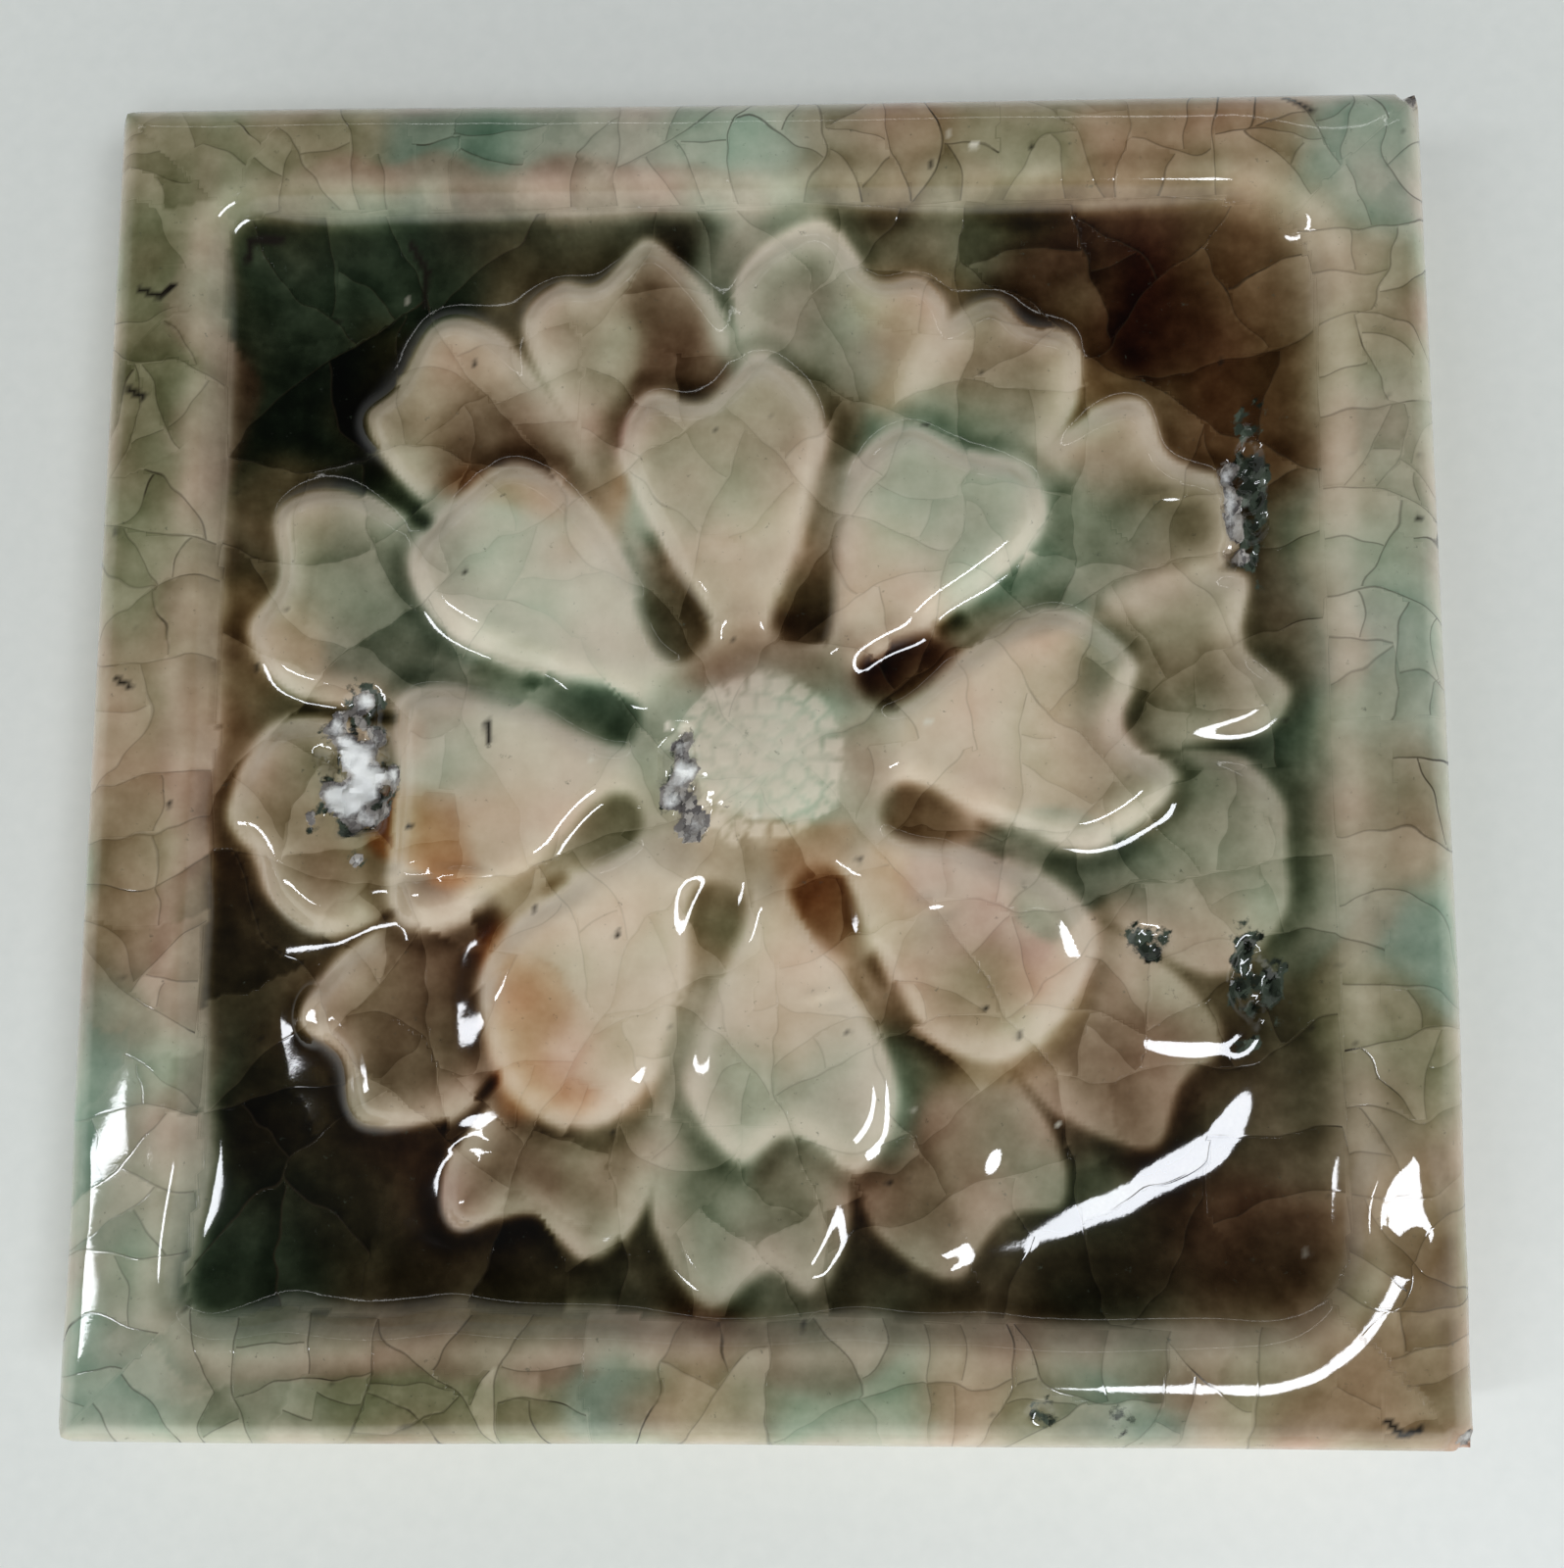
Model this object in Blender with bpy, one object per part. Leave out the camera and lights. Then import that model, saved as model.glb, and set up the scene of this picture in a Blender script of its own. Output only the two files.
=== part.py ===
"""A square relief tile of glazed earthenware, lying on its back.

A raised frame surrounds a sunk panel. On the panel is a rosette: a ring of fourteen outer petals, a ring of
eight inner petals over it, and a beaded button in the middle. The tile is one pressed piece of clay, so it is
one object here: a plain blank, less the space above its modelled face, less the keying grooves in its back.

Units are metres, +Z points out of the face, +Y is the top of the tile and the origin is the middle of its back.
"""

import math

import bmesh
import bpy
import numpy as np

# The blank
TILE_WIDTH = 0.0762
TILE_HEIGHT = 0.0762
CORNER_RADIUS = 0.0009
CORNER_SEGMENTS = 3
BACK_CHAMFER = 0.0005

# The panel, and the frame round it
PANEL_LEVEL = 0.0076
FRAME_BAR = 0.0066
FRAME_RISE = 0.0031
FRAME_HOLLOW = 0.0003
EDGE_ROUND = 0.0020
EDGE_DROP = 0.0012
WALL_RUN_LEFT = 0.0016
WALL_RUN_RIGHT = 0.0034
PANEL_CORNER_LEFT = 0.0020
PANEL_CORNER_RIGHT = 0.0050

# The rosette, whose petals rise from the panel
ROSETTE_CLEARANCE = 0.0005
ROSETTE_CENTRE_Y = -0.0010
OUTER_RISE = 0.0020
OUTER_WALL_RUN = 0.0014
OUTER_DISH = 0.0005
OUTER_TUCK = 0.0011
INNER_RISE = 0.0032
INNER_WALL_RUN = 0.0016
INNER_DISH = 0.0006
PETAL_RIM = 0.0013
DISH_RUN = 0.0026
PETAL_BLEND = 0.0004
# The share of a form's wall that lies outside its drawn outline
WALL_FOOT = 0.3

# The button in its middle, and the collar round it that the inner petals spring from
BUTTON_RADIUS = 0.0056
BUTTON_RISE = 0.0036
BUTTON_SHOULDER = 0.0018
BEAD_PITCH = 0.00135
BEAD_RISE = 0.0003
COLLAR_WIDTH = 0.0010
COLLAR_RISE = 0.0020

# The keying grooves in the back
GROOVE_COUNT = 6
GROOVE_WIDTH = 0.0045
GROOVE_DEPTH = 0.0010
GROOVE_MARGIN = 0.0080

# How finely the face is modelled, and how many triangles are kept of it
FACE_STEP = 0.00045
FACE_TRIANGLES = 8400
FACE_OVERHANG = 0.0010

PANEL_HALF_WIDTH = TILE_WIDTH / 2 - FRAME_BAR
PANEL_HALF_HEIGHT = TILE_HEIGHT / 2 - FRAME_BAR
ROSETTE_RADIUS = min(PANEL_HALF_WIDTH, PANEL_HALF_HEIGHT) - ROSETTE_CLEARANCE
# Where each form starts, far enough under the panel to meet it in a fillet
SUNK_LEVEL = -2.0 * PETAL_BLEND

# Reaches in the petals' rows are in parts of the rosette's radius, this many to the whole
REACH_PARTS = 31
# Where a petal leaves the middle, and half its width there
INNER_ROOT = (5.0, 1.1)
OUTER_ROOT = (15.0, 3.4)
# How far a petal's sides bulge between its root and its shoulders, as a share of that length
SIDE_BULGE = 0.03
# The reaches between which the outer petals climb from under the inner ring to their full rise
TUCK_REACHES = (15.0, 25.0)

# One row for each petal, from its left shoulder over the tip to its right: (bearing in degrees, reach) of the
# left shoulder, left lobe, notch, right lobe and right shoulder. Bearings turn anticlockwise from +X.
INNER_PETALS = (
    ((115, 19.9), (107, 22.5), (99, 21.3), (90, 23.8), (79, 19.9)),
    ((74, 17.5), (67, 21.2), (57, 21.4), (47, 22.6), (38, 20.2)),
    ((29, 18.3), (15, 21.9), (5, 20.3), (-4, 23.2), (-16, 18.7)),
    ((-22, 17.3), (-27, 20.8), (-37, 21.8), (-51, 21.4), (-60, 17.3)),
    ((-68, 20.0), (-77, 23.2), (-85, 20.8), (-93, 22.2), (-103, 18.5)),
    ((-108, 18.4), (-115, 22.5), (-126, 23.2), (-140, 20.8), (-147, 16.8)),
    ((-152, 19.8), (-158, 22.3), (-178, 20.8), (-190, 21.0), (-195, 17.5)),
    ((158, 19.5), (150, 23.5), (138, 23.3), (129, 22.6), (124, 18.5)),
)
OUTER_PETALS = (
    ((93, 29.0), (84, 32.2), (77, 29.4), (72, 30.3), (67, 28.2)),
    ((68, 27.5), (64, 30.6), (59, 30.0), (54, 30.9), (49, 27.5)),
    ((48, 27.0), (44, 30.4), (37, 29.3), (31, 31.2), (23, 29.0)),
    ((24, 26.5), (21, 29.6), (14, 28.2), (8, 30.1), (3, 28.0)),
    ((1, 26.5), (-4, 29.2), (-9, 29.6), (-16, 30.3), (-25, 28.0)),
    ((-27, 26.0), (-31, 29.6), (-38, 29.2), (-45, 30.3), (-50, 26.5)),
    ((-52, 26.5), (-56, 29.5), (-62, 28.4), (-70, 30.1), (-77, 26.3)),
    ((-79, 25.4), (-84, 29.2), (-89, 28.0), (-96, 30.1), (-104, 25.7)),
    ((-105, 26.0), (-109, 29.2), (-117, 28.3), (-123, 31.1), (-128, 28.5)),
    ((-131, 26.4), (-138, 30.3), (-145, 29.0), (-151, 29.9), (-156, 25.4)),
    ((-158, 26.5), (-164, 28.9), (-169, 29.3), (-175, 30.6), (-185, 28.0)),
    ((172, 27.5), (166, 30.7), (159, 30.2), (152, 32.3), (146, 29.1)),
    ((142, 28.0), (139, 31.4), (134, 31.2), (126, 32.8), (121, 29.8)),
    ((119, 29.6), (113, 31.2), (109, 30.2), (102, 32.0), (95, 27.0)),
)
# Hollows between the inner petals: the inner end, the outer end, and half the width at each
HOLLOWS = (
    ((74.0, 7.4), (76.0, 17.4), (0.9, 0.7)),
    ((31.0, 7.1), (33.0, 18.0), (1.2, 0.8)),
    ((-19.0, 8.1), (-20.0, 16.0), (1.0, 0.5)),
    ((-67.0, 7.5), (-63.0, 13.5), (1.2, 0.7)),
    ((-102.0, 7.9), (-104.0, 16.5), (1.4, 0.9)),
    ((-154.0, 7.6), (-154.0, 15.0), (1.1, 0.8)),
    ((157.0, 6.9), (162.0, 18.0), (1.1, 0.9)),
    ((119.0, 7.9), (121.0, 17.5), (1.4, 1.0)),
)
HOLLOW_RISE = 0.0004
HOLLOW_WALL_RUN = 0.0013
# Folds along the petals: both ends as (bearing, reach), and how far each stands up in parts of the petals' rise
PETAL_FOLDS = (
    ((106, 31.4), (111, 22.5), 0.30),
    ((146, 29.5), (146, 24.4), 0.22),
    ((-139, 18.6), (-121, 21.6), 0.16),
    ((14, 27.8), (9, 23.5), -0.22),
    ((84, 30.2), (80, 22.0), -0.16),
)
FOLD_HALF_WIDTH = 0.0011
# Breaks in the petals: (bearing, reach) of the middle, radius in the same parts, and depth in metres
BREAKS = (
    ((182, 23.0), 2.5, 0.0008),
    ((28, 31.0), 2.8, 0.0012),
    ((-24, 29.8), 2.2, 0.0009),
    ((190, 4.3), 2.1, 0.0006),
)


def smooth_step(values, low, high):
    """Zero up to low, one from high on, and an even S between them."""
    share = np.clip((values - low) / (high - low), 0.0, 1.0)
    return share * share * (3.0 - 2.0 * share)


def smooth_max(first, second, blend):
    """The higher of two surfaces, with a fillet of about the blend's size where they cross."""
    share = np.clip(0.5 + 0.5 * (first - second) / blend, 0.0, 1.0)
    return second + (first - second) * share + blend * share * (1.0 - share)


def on_rosette(bearing, reach):
    """The point at a bearing and a reach from the rosette's middle."""
    distance = reach * ROSETTE_RADIUS / REACH_PARTS
    angle = math.radians(bearing)
    return distance * math.cos(angle), ROSETTE_CENTRE_Y + distance * math.sin(angle)


def closed_curve(points, steps=8):
    """A closed Catmull-Rom curve through the points."""
    knots = np.array(points)
    before, after, beyond = np.roll(knots, 1, 0), np.roll(knots, -1, 0), np.roll(knots, -2, 0)
    t = (np.arange(steps) / steps)[None, :, None]
    curve = 0.5 * (
        2.0 * knots[:, None]
        + (after - before)[:, None] * t
        + (2.0 * before - 5.0 * knots + 4.0 * after - beyond)[:, None] * t**2
        + (3.0 * knots - before - 3.0 * after + beyond)[:, None] * t**3
    )
    return curve.reshape(-1, 2)


def segment_distance(x, y, start, end):
    """Distance from each place to the straight line between two points, and the share of the way along it."""
    along = (end[0] - start[0], end[1] - start[1])
    length_squared = along[0] ** 2 + along[1] ** 2
    share = np.clip(((x - start[0]) * along[0] + (y - start[1]) * along[1]) / length_squared, 0.0, 1.0)
    return np.hypot(x - start[0] - share * along[0], y - start[1] - share * along[1]), share


def depth_inside(x, y, outline):
    """Distance in from a closed outline, negative outside it. A line to +X crosses it an odd number of times
    from every place inside."""
    nearest = np.full(x.shape, np.inf)
    inside = np.zeros(x.shape, bool)
    for start, end in zip(outline, np.roll(outline, -1, 0)):
        nearest = np.minimum(nearest, segment_distance(x, y, start, end)[0])
        if start[1] != end[1]:
            crossing = start[0] + (y - start[1]) / (end[1] - start[1]) * (end[0] - start[0])
            inside ^= ((start[1] > y) != (end[1] > y)) & (x < crossing)
    return np.where(inside, nearest, -nearest)


def panel_depth(x, y):
    """Distance in from the panel's outline, a rectangle whose right corners are rounder than its left ones."""
    radius = np.where(x > 0.0, PANEL_CORNER_RIGHT, PANEL_CORNER_LEFT)
    over_x = np.abs(x) - PANEL_HALF_WIDTH + radius
    over_y = np.abs(y) - PANEL_HALF_HEIGHT + radius
    outside = np.hypot(np.maximum(over_x, 0.0), np.maximum(over_y, 0.0))
    return radius - outside - np.minimum(np.maximum(over_x, over_y), 0.0)


def frame_and_panel(x, y):
    """Height of the frame and panel: a soft outer edge, a faintly hollow bar, and a wall down to the panel."""
    edge = np.minimum(TILE_WIDTH / 2 - np.abs(x), TILE_HEIGHT / 2 - np.abs(y))
    rounding = 1.0 - np.clip(edge / EDGE_ROUND, 0.0, 1.0)
    inward = panel_depth(x, y)
    wall_run = WALL_RUN_LEFT + (WALL_RUN_RIGHT - WALL_RUN_LEFT) * smooth_step(x, 0.0, PANEL_HALF_WIDTH)
    wall = smooth_step(inward, -0.5 * wall_run, 0.5 * wall_run)
    bar_middle = (FRAME_BAR + EDGE_ROUND / 2) / 2
    hollow = FRAME_HOLLOW * np.exp(-(((edge - bar_middle) / (FRAME_BAR / 4)) ** 2))
    crest = PANEL_LEVEL + FRAME_RISE - EDGE_DROP * rounding**2 - hollow
    return crest + (PANEL_LEVEL - crest) * wall


def petal_outline(row, root):
    """The closed outline of a petal: its root, its two sides, and its lobed tip."""
    root_reach, root_half_width = root
    left, right = on_rosette(*row[0]), on_rosette(*row[-1])
    axis = math.radians((row[0][0] + row[-1][0]) / 2)
    unit = ROSETTE_RADIUS / REACH_PARTS
    across = np.array((-math.sin(axis), math.cos(axis)))
    root_middle = np.array(on_rosette(math.degrees(axis), root_reach))
    root_left = root_middle + across * root_half_width * unit
    root_right = root_middle - across * root_half_width * unit
    bulge = SIDE_BULGE * math.dist(root_left, left)
    side_left = 0.5 * (root_left + left) + across * bulge
    side_right = 0.5 * (root_right + right) - across * bulge
    tip = [on_rosette(*place) for place in row]
    return closed_curve([root_left, side_left, *tip, side_right, root_right])


def raised(depth, rise, wall_run):
    """Height over the panel of a form with an S-shaped wall, which starts at the sunk level outside it."""
    foot = -WALL_FOOT * wall_run
    return SUNK_LEVEL + (rise - SUNK_LEVEL) * smooth_step(depth, foot, foot + wall_run)


def outer_petal_height(x, y, row):
    """Height of an outer petal over the panel: it climbs outwards from under the inner ring, with a raised rim."""
    depth = depth_inside(x, y, petal_outline(row, OUTER_ROOT))
    reach = np.hypot(x, y - ROSETTE_CENTRE_Y) * REACH_PARTS / ROSETTE_RADIUS
    tucked = OUTER_TUCK * (1.0 - smooth_step(reach, *TUCK_REACHES))
    dished = OUTER_DISH * smooth_step(depth, PETAL_RIM, PETAL_RIM + DISH_RUN)
    return raised(depth, OUTER_RISE - tucked - dished, OUTER_WALL_RUN)


def inner_petal_height(x, y, row):
    """Height of an inner petal over the panel: a raised rim round a shallow dish."""
    depth = depth_inside(x, y, petal_outline(row, INNER_ROOT))
    dished = INNER_DISH * smooth_step(depth, PETAL_RIM, PETAL_RIM + DISH_RUN)
    return raised(depth, INNER_RISE - dished, INNER_WALL_RUN)


def sink_hollows(x, y, rosette):
    """Lowers the rosette to the hollows' floor, in tapered troughs with rounded ends."""
    for start, end, half_widths in HOLLOWS:
        distance, along = segment_distance(x, y, on_rosette(*start), on_rosette(*end))
        half_width = (half_widths[0] + (half_widths[1] - half_widths[0]) * along) * ROSETTE_RADIUS / REACH_PARTS
        wall = smooth_step(distance, half_width - 0.5 * HOLLOW_WALL_RUN, half_width + 0.5 * HOLLOW_WALL_RUN)
        floor = HOLLOW_RISE + (INNER_RISE + PETAL_BLEND - HOLLOW_RISE) * wall
        rosette = -smooth_max(-rosette, -floor, PETAL_BLEND)
    return rosette


def folds_height(x, y, rise):
    """Height that the folds add: a ridge along each, round in section and fading to its ends."""
    total = np.zeros(x.shape)
    for start, end, share in PETAL_FOLDS:
        distance, along = segment_distance(x, y, on_rosette(*start), on_rosette(*end))
        total += share * rise * np.exp(-((distance / FOLD_HALF_WIDTH) ** 2)) * np.sin(np.pi * along) ** 0.5
    return total


def collar_height(x, y):
    """Height of the collar over the panel: a disc a little wider than the button."""
    distance = np.hypot(x, y - ROSETTE_CENTRE_Y)
    return raised(BUTTON_RADIUS + COLLAR_WIDTH - distance, COLLAR_RISE, COLLAR_WIDTH)


def button_height(x, y):
    """Height of the button over the panel: a low dome, with a bead at each crest of ripples that run out from
    its middle and round it."""
    distance = np.hypot(x, y - ROSETTE_CENTRE_Y)
    bearing = np.arctan2(y - ROSETTE_CENTRE_Y, x)
    ring = np.round(distance / BEAD_PITCH)
    around = np.cos(np.round(2.0 * np.pi * ring) * bearing)
    outward = np.cos(2.0 * np.pi * distance / BEAD_PITCH)
    beads = BEAD_RISE * (0.5 + 0.25 * (around + outward))
    dome = raised(BUTTON_RADIUS - distance, BUTTON_RISE, BUTTON_SHOULDER)
    return dome - (BEAD_RISE - beads) * (distance < BUTTON_RADIUS)


def face_height(x, y):
    """Height of the whole face over the back."""
    forms = [outer_petal_height(x, y, row) for row in OUTER_PETALS]
    forms += [inner_petal_height(x, y, row) for row in INNER_PETALS]
    forms.append(collar_height(x, y))
    rosette = np.full(x.shape, SUNK_LEVEL)
    for form in forms:
        rosette = np.where(form > SUNK_LEVEL, smooth_max(rosette, form, PETAL_BLEND), rosette)
    rosette = sink_hollows(x, y, rosette) + folds_height(x, y, OUTER_RISE) * (rosette > 0.0)
    rosette = smooth_max(rosette, button_height(x, y), PETAL_BLEND)
    for place, radius, depth in BREAKS:
        middle = on_rosette(*place)
        away = np.hypot(x - middle[0], y - middle[1]) / (radius * ROSETTE_RADIUS / REACH_PARTS)
        rosette -= depth * np.clip(1.0 - away**2, 0.0, 1.0)
    return smooth_max(frame_and_panel(x, y), PANEL_LEVEL + rosette, PETAL_BLEND)


def add_to(collection_name, name, mesh):
    """A new object in a collection, which is made if it isn't there."""
    collection = bpy.data.collections.get(collection_name)
    if collection is None:
        collection = bpy.data.collections.new(collection_name)
        bpy.context.scene.collection.children.link(collection)
    piece = bpy.data.objects.new(name, mesh)
    collection.objects.link(piece)
    return piece


def add_box(collection_name, name, low, high):
    """A cube brought to the box between two corners."""
    bm = bmesh.new()
    bmesh.ops.create_cube(bm, size=1.0)
    for vertex in bm.verts:
        for axis in range(3):
            vertex.co[axis] = low[axis] + (vertex.co[axis] + 0.5) * (high[axis] - low[axis])
    mesh = bpy.data.meshes.new(name)
    bm.to_mesh(mesh)
    bm.free()
    return add_to(collection_name, name, mesh)


def cut(piece, cutter):
    """Takes the cutter's space out of the piece."""
    cutter.hide_render = True
    cutter.display_type = "WIRE"
    boolean = piece.modifiers.new("less " + cutter.name, "BOOLEAN")
    boolean.operation = "DIFFERENCE"
    boolean.solver = "EXACT"
    boolean.object = cutter


def face_sheet(half_width, half_height):
    """The modelled face as an open sheet: a fine grid set to its height, then thinned where it is smooth."""
    columns = round(2.0 * half_width / FACE_STEP)
    rows = round(2.0 * half_height / FACE_STEP)
    bm = bmesh.new()
    bmesh.ops.create_grid(bm, x_segments=columns, y_segments=rows, size=1.0)
    mesh = bpy.data.meshes.new("face sheet")
    bm.to_mesh(mesh)
    bm.free()
    places = np.empty(len(mesh.vertices) * 3)
    mesh.vertices.foreach_get("co", places)
    places = places.reshape(-1, 3)
    places[:, 0] *= half_width
    places[:, 1] *= half_height
    places[:, 2] = face_height(places[:, 0], places[:, 1])
    mesh.vertices.foreach_set("co", places.ravel())
    sheet = add_to("cutters", "face sheet", mesh)
    thin = sheet.modifiers.new("thin", "DECIMATE")
    thin.use_collapse_triangulate = True
    thin.ratio = FACE_TRIANGLES / (2 * columns * rows)
    thinned = bpy.data.meshes.new_from_object(sheet.evaluated_get(bpy.context.evaluated_depsgraph_get()))
    bpy.data.objects.remove(sheet)
    return thinned


def add_space_above_face():
    """The space over the modelled face, closed by walls up from its border and a flat lid."""
    half_width = TILE_WIDTH / 2 + FACE_OVERHANG
    half_height = TILE_HEIGHT / 2 + FACE_OVERHANG
    mesh = face_sheet(half_width, half_height)
    lid_level = PANEL_LEVEL + max(FRAME_RISE, BUTTON_RISE) + 2.0 * FACE_OVERHANG
    bm = bmesh.new()
    bm.from_mesh(mesh)
    border = [edge for edge in bm.edges if edge.is_boundary]
    walls = bmesh.ops.extrude_edge_only(bm, edges=border)["geom"]
    for vertex in (item for item in walls if isinstance(item, bmesh.types.BMVert)):
        vertex.co.z = lid_level
    bmesh.ops.holes_fill(bm, edges=[edge for edge in bm.edges if edge.is_boundary])
    bmesh.ops.recalc_face_normals(bm, faces=bm.faces)
    bm.to_mesh(mesh)
    bm.free()
    return add_to("cutters", "space above face", mesh)


def add_blank():
    """The pressed block, with its upright corners rounded and its back edges chamfered."""
    blank_height = PANEL_LEVEL + max(FRAME_RISE, BUTTON_RISE) + FACE_OVERHANG
    low = (-TILE_WIDTH / 2, -TILE_HEIGHT / 2, 0.0)
    high = (TILE_WIDTH / 2, TILE_HEIGHT / 2, blank_height)
    tile = add_box("relief tile", "tile", low, high)
    bm = bmesh.new()
    bm.from_mesh(tile.data)
    upright = [edge for edge in bm.edges if abs(edge.verts[0].co.z - edge.verts[1].co.z) > PANEL_LEVEL]
    bmesh.ops.bevel(
        bm, geom=upright, offset=CORNER_RADIUS, segments=CORNER_SEGMENTS, profile=0.5, affect="EDGES"
    )
    back = [edge for edge in bm.edges if max(edge.verts[0].co.z, edge.verts[1].co.z) < BACK_CHAMFER]
    bmesh.ops.bevel(bm, geom=back, offset=BACK_CHAMFER, segments=1, profile=0.5, affect="EDGES")
    bm.to_mesh(tile.data)
    bm.free()
    return tile


def add_groove_cutters():
    """Upright keying grooves, evenly spaced over the back and short of its edges."""
    first = -TILE_WIDTH / 2 + GROOVE_MARGIN + GROOVE_WIDTH / 2
    pitch = -2.0 * first / (GROOVE_COUNT - 1)
    reach = TILE_HEIGHT / 2 - GROOVE_MARGIN
    cutters = []
    for index in range(GROOVE_COUNT):
        middle = first + index * pitch
        low = (middle - GROOVE_WIDTH / 2, -reach, -FACE_OVERHANG)
        high = (middle + GROOVE_WIDTH / 2, reach, GROOVE_DEPTH)
        cutters.append(add_box("cutters", f"groove {index + 1}", low, high))
    return cutters


def glazed_earthenware():
    """A pinkish cream body under clear green and brown glazes, taken as one colour over the tile."""
    material = bpy.data.materials.new("glazed earthenware")
    material.use_nodes = True
    shader = material.node_tree.nodes["Principled BSDF"]
    shader.inputs["Base Color"].default_value = (0.27, 0.22, 0.16, 1.0)
    shader.inputs["Roughness"].default_value = 0.12
    shader.inputs["Metallic"].default_value = 0.0
    return material


def main():
    for item in list(bpy.data.objects):
        bpy.data.objects.remove(item, do_unlink=True)
    tile = add_blank()
    for cutter in add_groove_cutters():
        cut(tile, cutter)
    cut(tile, add_space_above_face())
    tile.data.materials.append(glazed_earthenware())


main()
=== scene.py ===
import math

import bmesh
import bpy
import numpy as np
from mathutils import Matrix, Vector


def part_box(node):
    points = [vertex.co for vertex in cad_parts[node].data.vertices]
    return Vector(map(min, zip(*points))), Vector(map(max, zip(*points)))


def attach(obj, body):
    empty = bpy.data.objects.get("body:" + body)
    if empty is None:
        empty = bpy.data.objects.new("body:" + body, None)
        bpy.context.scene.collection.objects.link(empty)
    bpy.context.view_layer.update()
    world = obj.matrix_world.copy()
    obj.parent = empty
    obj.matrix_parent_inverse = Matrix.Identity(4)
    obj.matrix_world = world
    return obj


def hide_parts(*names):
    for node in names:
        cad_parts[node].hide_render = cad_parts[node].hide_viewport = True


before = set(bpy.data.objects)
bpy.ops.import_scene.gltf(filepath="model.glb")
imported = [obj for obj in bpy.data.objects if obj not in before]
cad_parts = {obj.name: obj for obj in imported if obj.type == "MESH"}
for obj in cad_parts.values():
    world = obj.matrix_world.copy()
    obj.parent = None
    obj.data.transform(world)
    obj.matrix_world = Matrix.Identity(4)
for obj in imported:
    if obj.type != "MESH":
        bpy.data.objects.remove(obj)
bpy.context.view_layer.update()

# A square relief tile in glazed earthenware, lying on its back on a plain pale floor. The pressed clay is a
# pale pinkish body. Over it lies a thick, clear, coloured glaze: where it is thin, on the petals' rims, the
# body shows, and where it fills the sunk panel and the hollows it is almost black.
#
# Lengths are in millimetres unless a name says otherwise, and MM turns them to the frame's metres.
MM = 0.001

low, high = (np.array(corner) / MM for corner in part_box("tile"))
HALF_WIDTH, HALF_HEIGHT = high[0], high[1]
TOP_LEVEL = high[2]

# Levels of the glaze's surface over the back, down from the button, which is the highest thing on the tile
PANEL_LEVEL = TOP_LEVEL - 3.6
FRAME_RISE = 3.05
FRAME_BAR = 6.6
BAR_SLOPE_LEFT = 0.03
BAR_SLOPE_RIGHT = 0.28
BAR_SAG = 0.3
# On the left bar a slanting strip leans outwards: its ends' y, its insets there, half its width, its slope
STRIP_ENDS = (-21.0, -33.6)
STRIP_INSETS = (0.7, 4.3)
STRIP_HALF_WIDTH = 1.05
STRIP_SLOPE = 0.075
KNEE_INSET_TOP = 1.6
KNEE_INSET_BOTTOM = 3.5
KNEE_BLEND = 0.07
KNEE_BLEND_WIDE = 0.80
WIDE_KNEE_Y = -25.5
WIDE_KNEE_REACH = 3.0
EDGE_ROUND = 1.6
EDGE_DROP = 1.0
EDGE_INSET = 0.04
WALL_RUN_LEFT = 2.0
WALL_RUN_RIGHT = 7.6
WALL_SHIFT_RIGHT = 0.9
PANEL_CORNER_LEFT = 2.0
PANEL_CORNER_RIGHT = 5.0
CORNER_RADIUS = 1.1
PANEL_HALF_WIDTH = HALF_WIDTH - FRAME_BAR
PANEL_HALF_HEIGHT = HALF_HEIGHT - FRAME_BAR

# The rosette's forms over the panel, and the glaze's wall round each
ROSETTE_CLEARANCE = 0.5
ROSETTE_CENTRE_Y = -1.0
ROSETTE_RADIUS = min(PANEL_HALF_WIDTH, PANEL_HALF_HEIGHT) - ROSETTE_CLEARANCE
OUTER_RISE = 1.75
OUTER_WALL_RUN = 1.9
OUTER_DISH = 0.25
OUTER_TUCK = 0.7
PLATE_RADIUS = 12.5
INNER_RISE = 2.95
INNER_WALL_RUN = 2.1
INNER_DISH = 0.22
PETAL_RIM = 1.2
DISH_RUN = 2.8
PETAL_BLEND = 0.5
WALL_FOOT = 0.45
SUNK_LEVEL = -2.0 * PETAL_BLEND
BUTTON_RADIUS = 5.6
BUTTON_RISE = 3.35
BUTTON_FALL = 1.05
COLLAR_WIDTH = 1.2
COLLAR_RISE = 2.1
HOLLOW_RISE = 1.0
HOLLOW_WALL_RUN = 1.7
BEAD_FIELD = 4.9
BEAD_PITCH = 1.22
BEAD_RISE = 0.05

# How the glaze's surface softens the relief: a close blur, and a wide one that fills its corners
CLOSE_BLUR = 0.55
POOL_BLUR = 2.2
POOL_SINK = 0.06
POOL_BLEND = 0.6
POOL_RISE_RIGHT = 0.7
# Waves in the surface: how far apart, how high
WIDE_WAVES = (8.0, 0.030)
CLOSE_WAVES = (2.6, 0.006)
# Where it lies so thick that its surface runs over the forms in one sweep: middle, half-size and how fully
HEAP_BLUR = 3.2
HEAP_RISE = 0.35
HEAPS = (
    ((18.0, -20.5), (13.0, 11.0), 1.0),
    ((23.5, -11.5), (7.0, 6.5), 1.0),
    ((-4.0, -19.5), (15.0, 10.0), 0.7),
)
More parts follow.
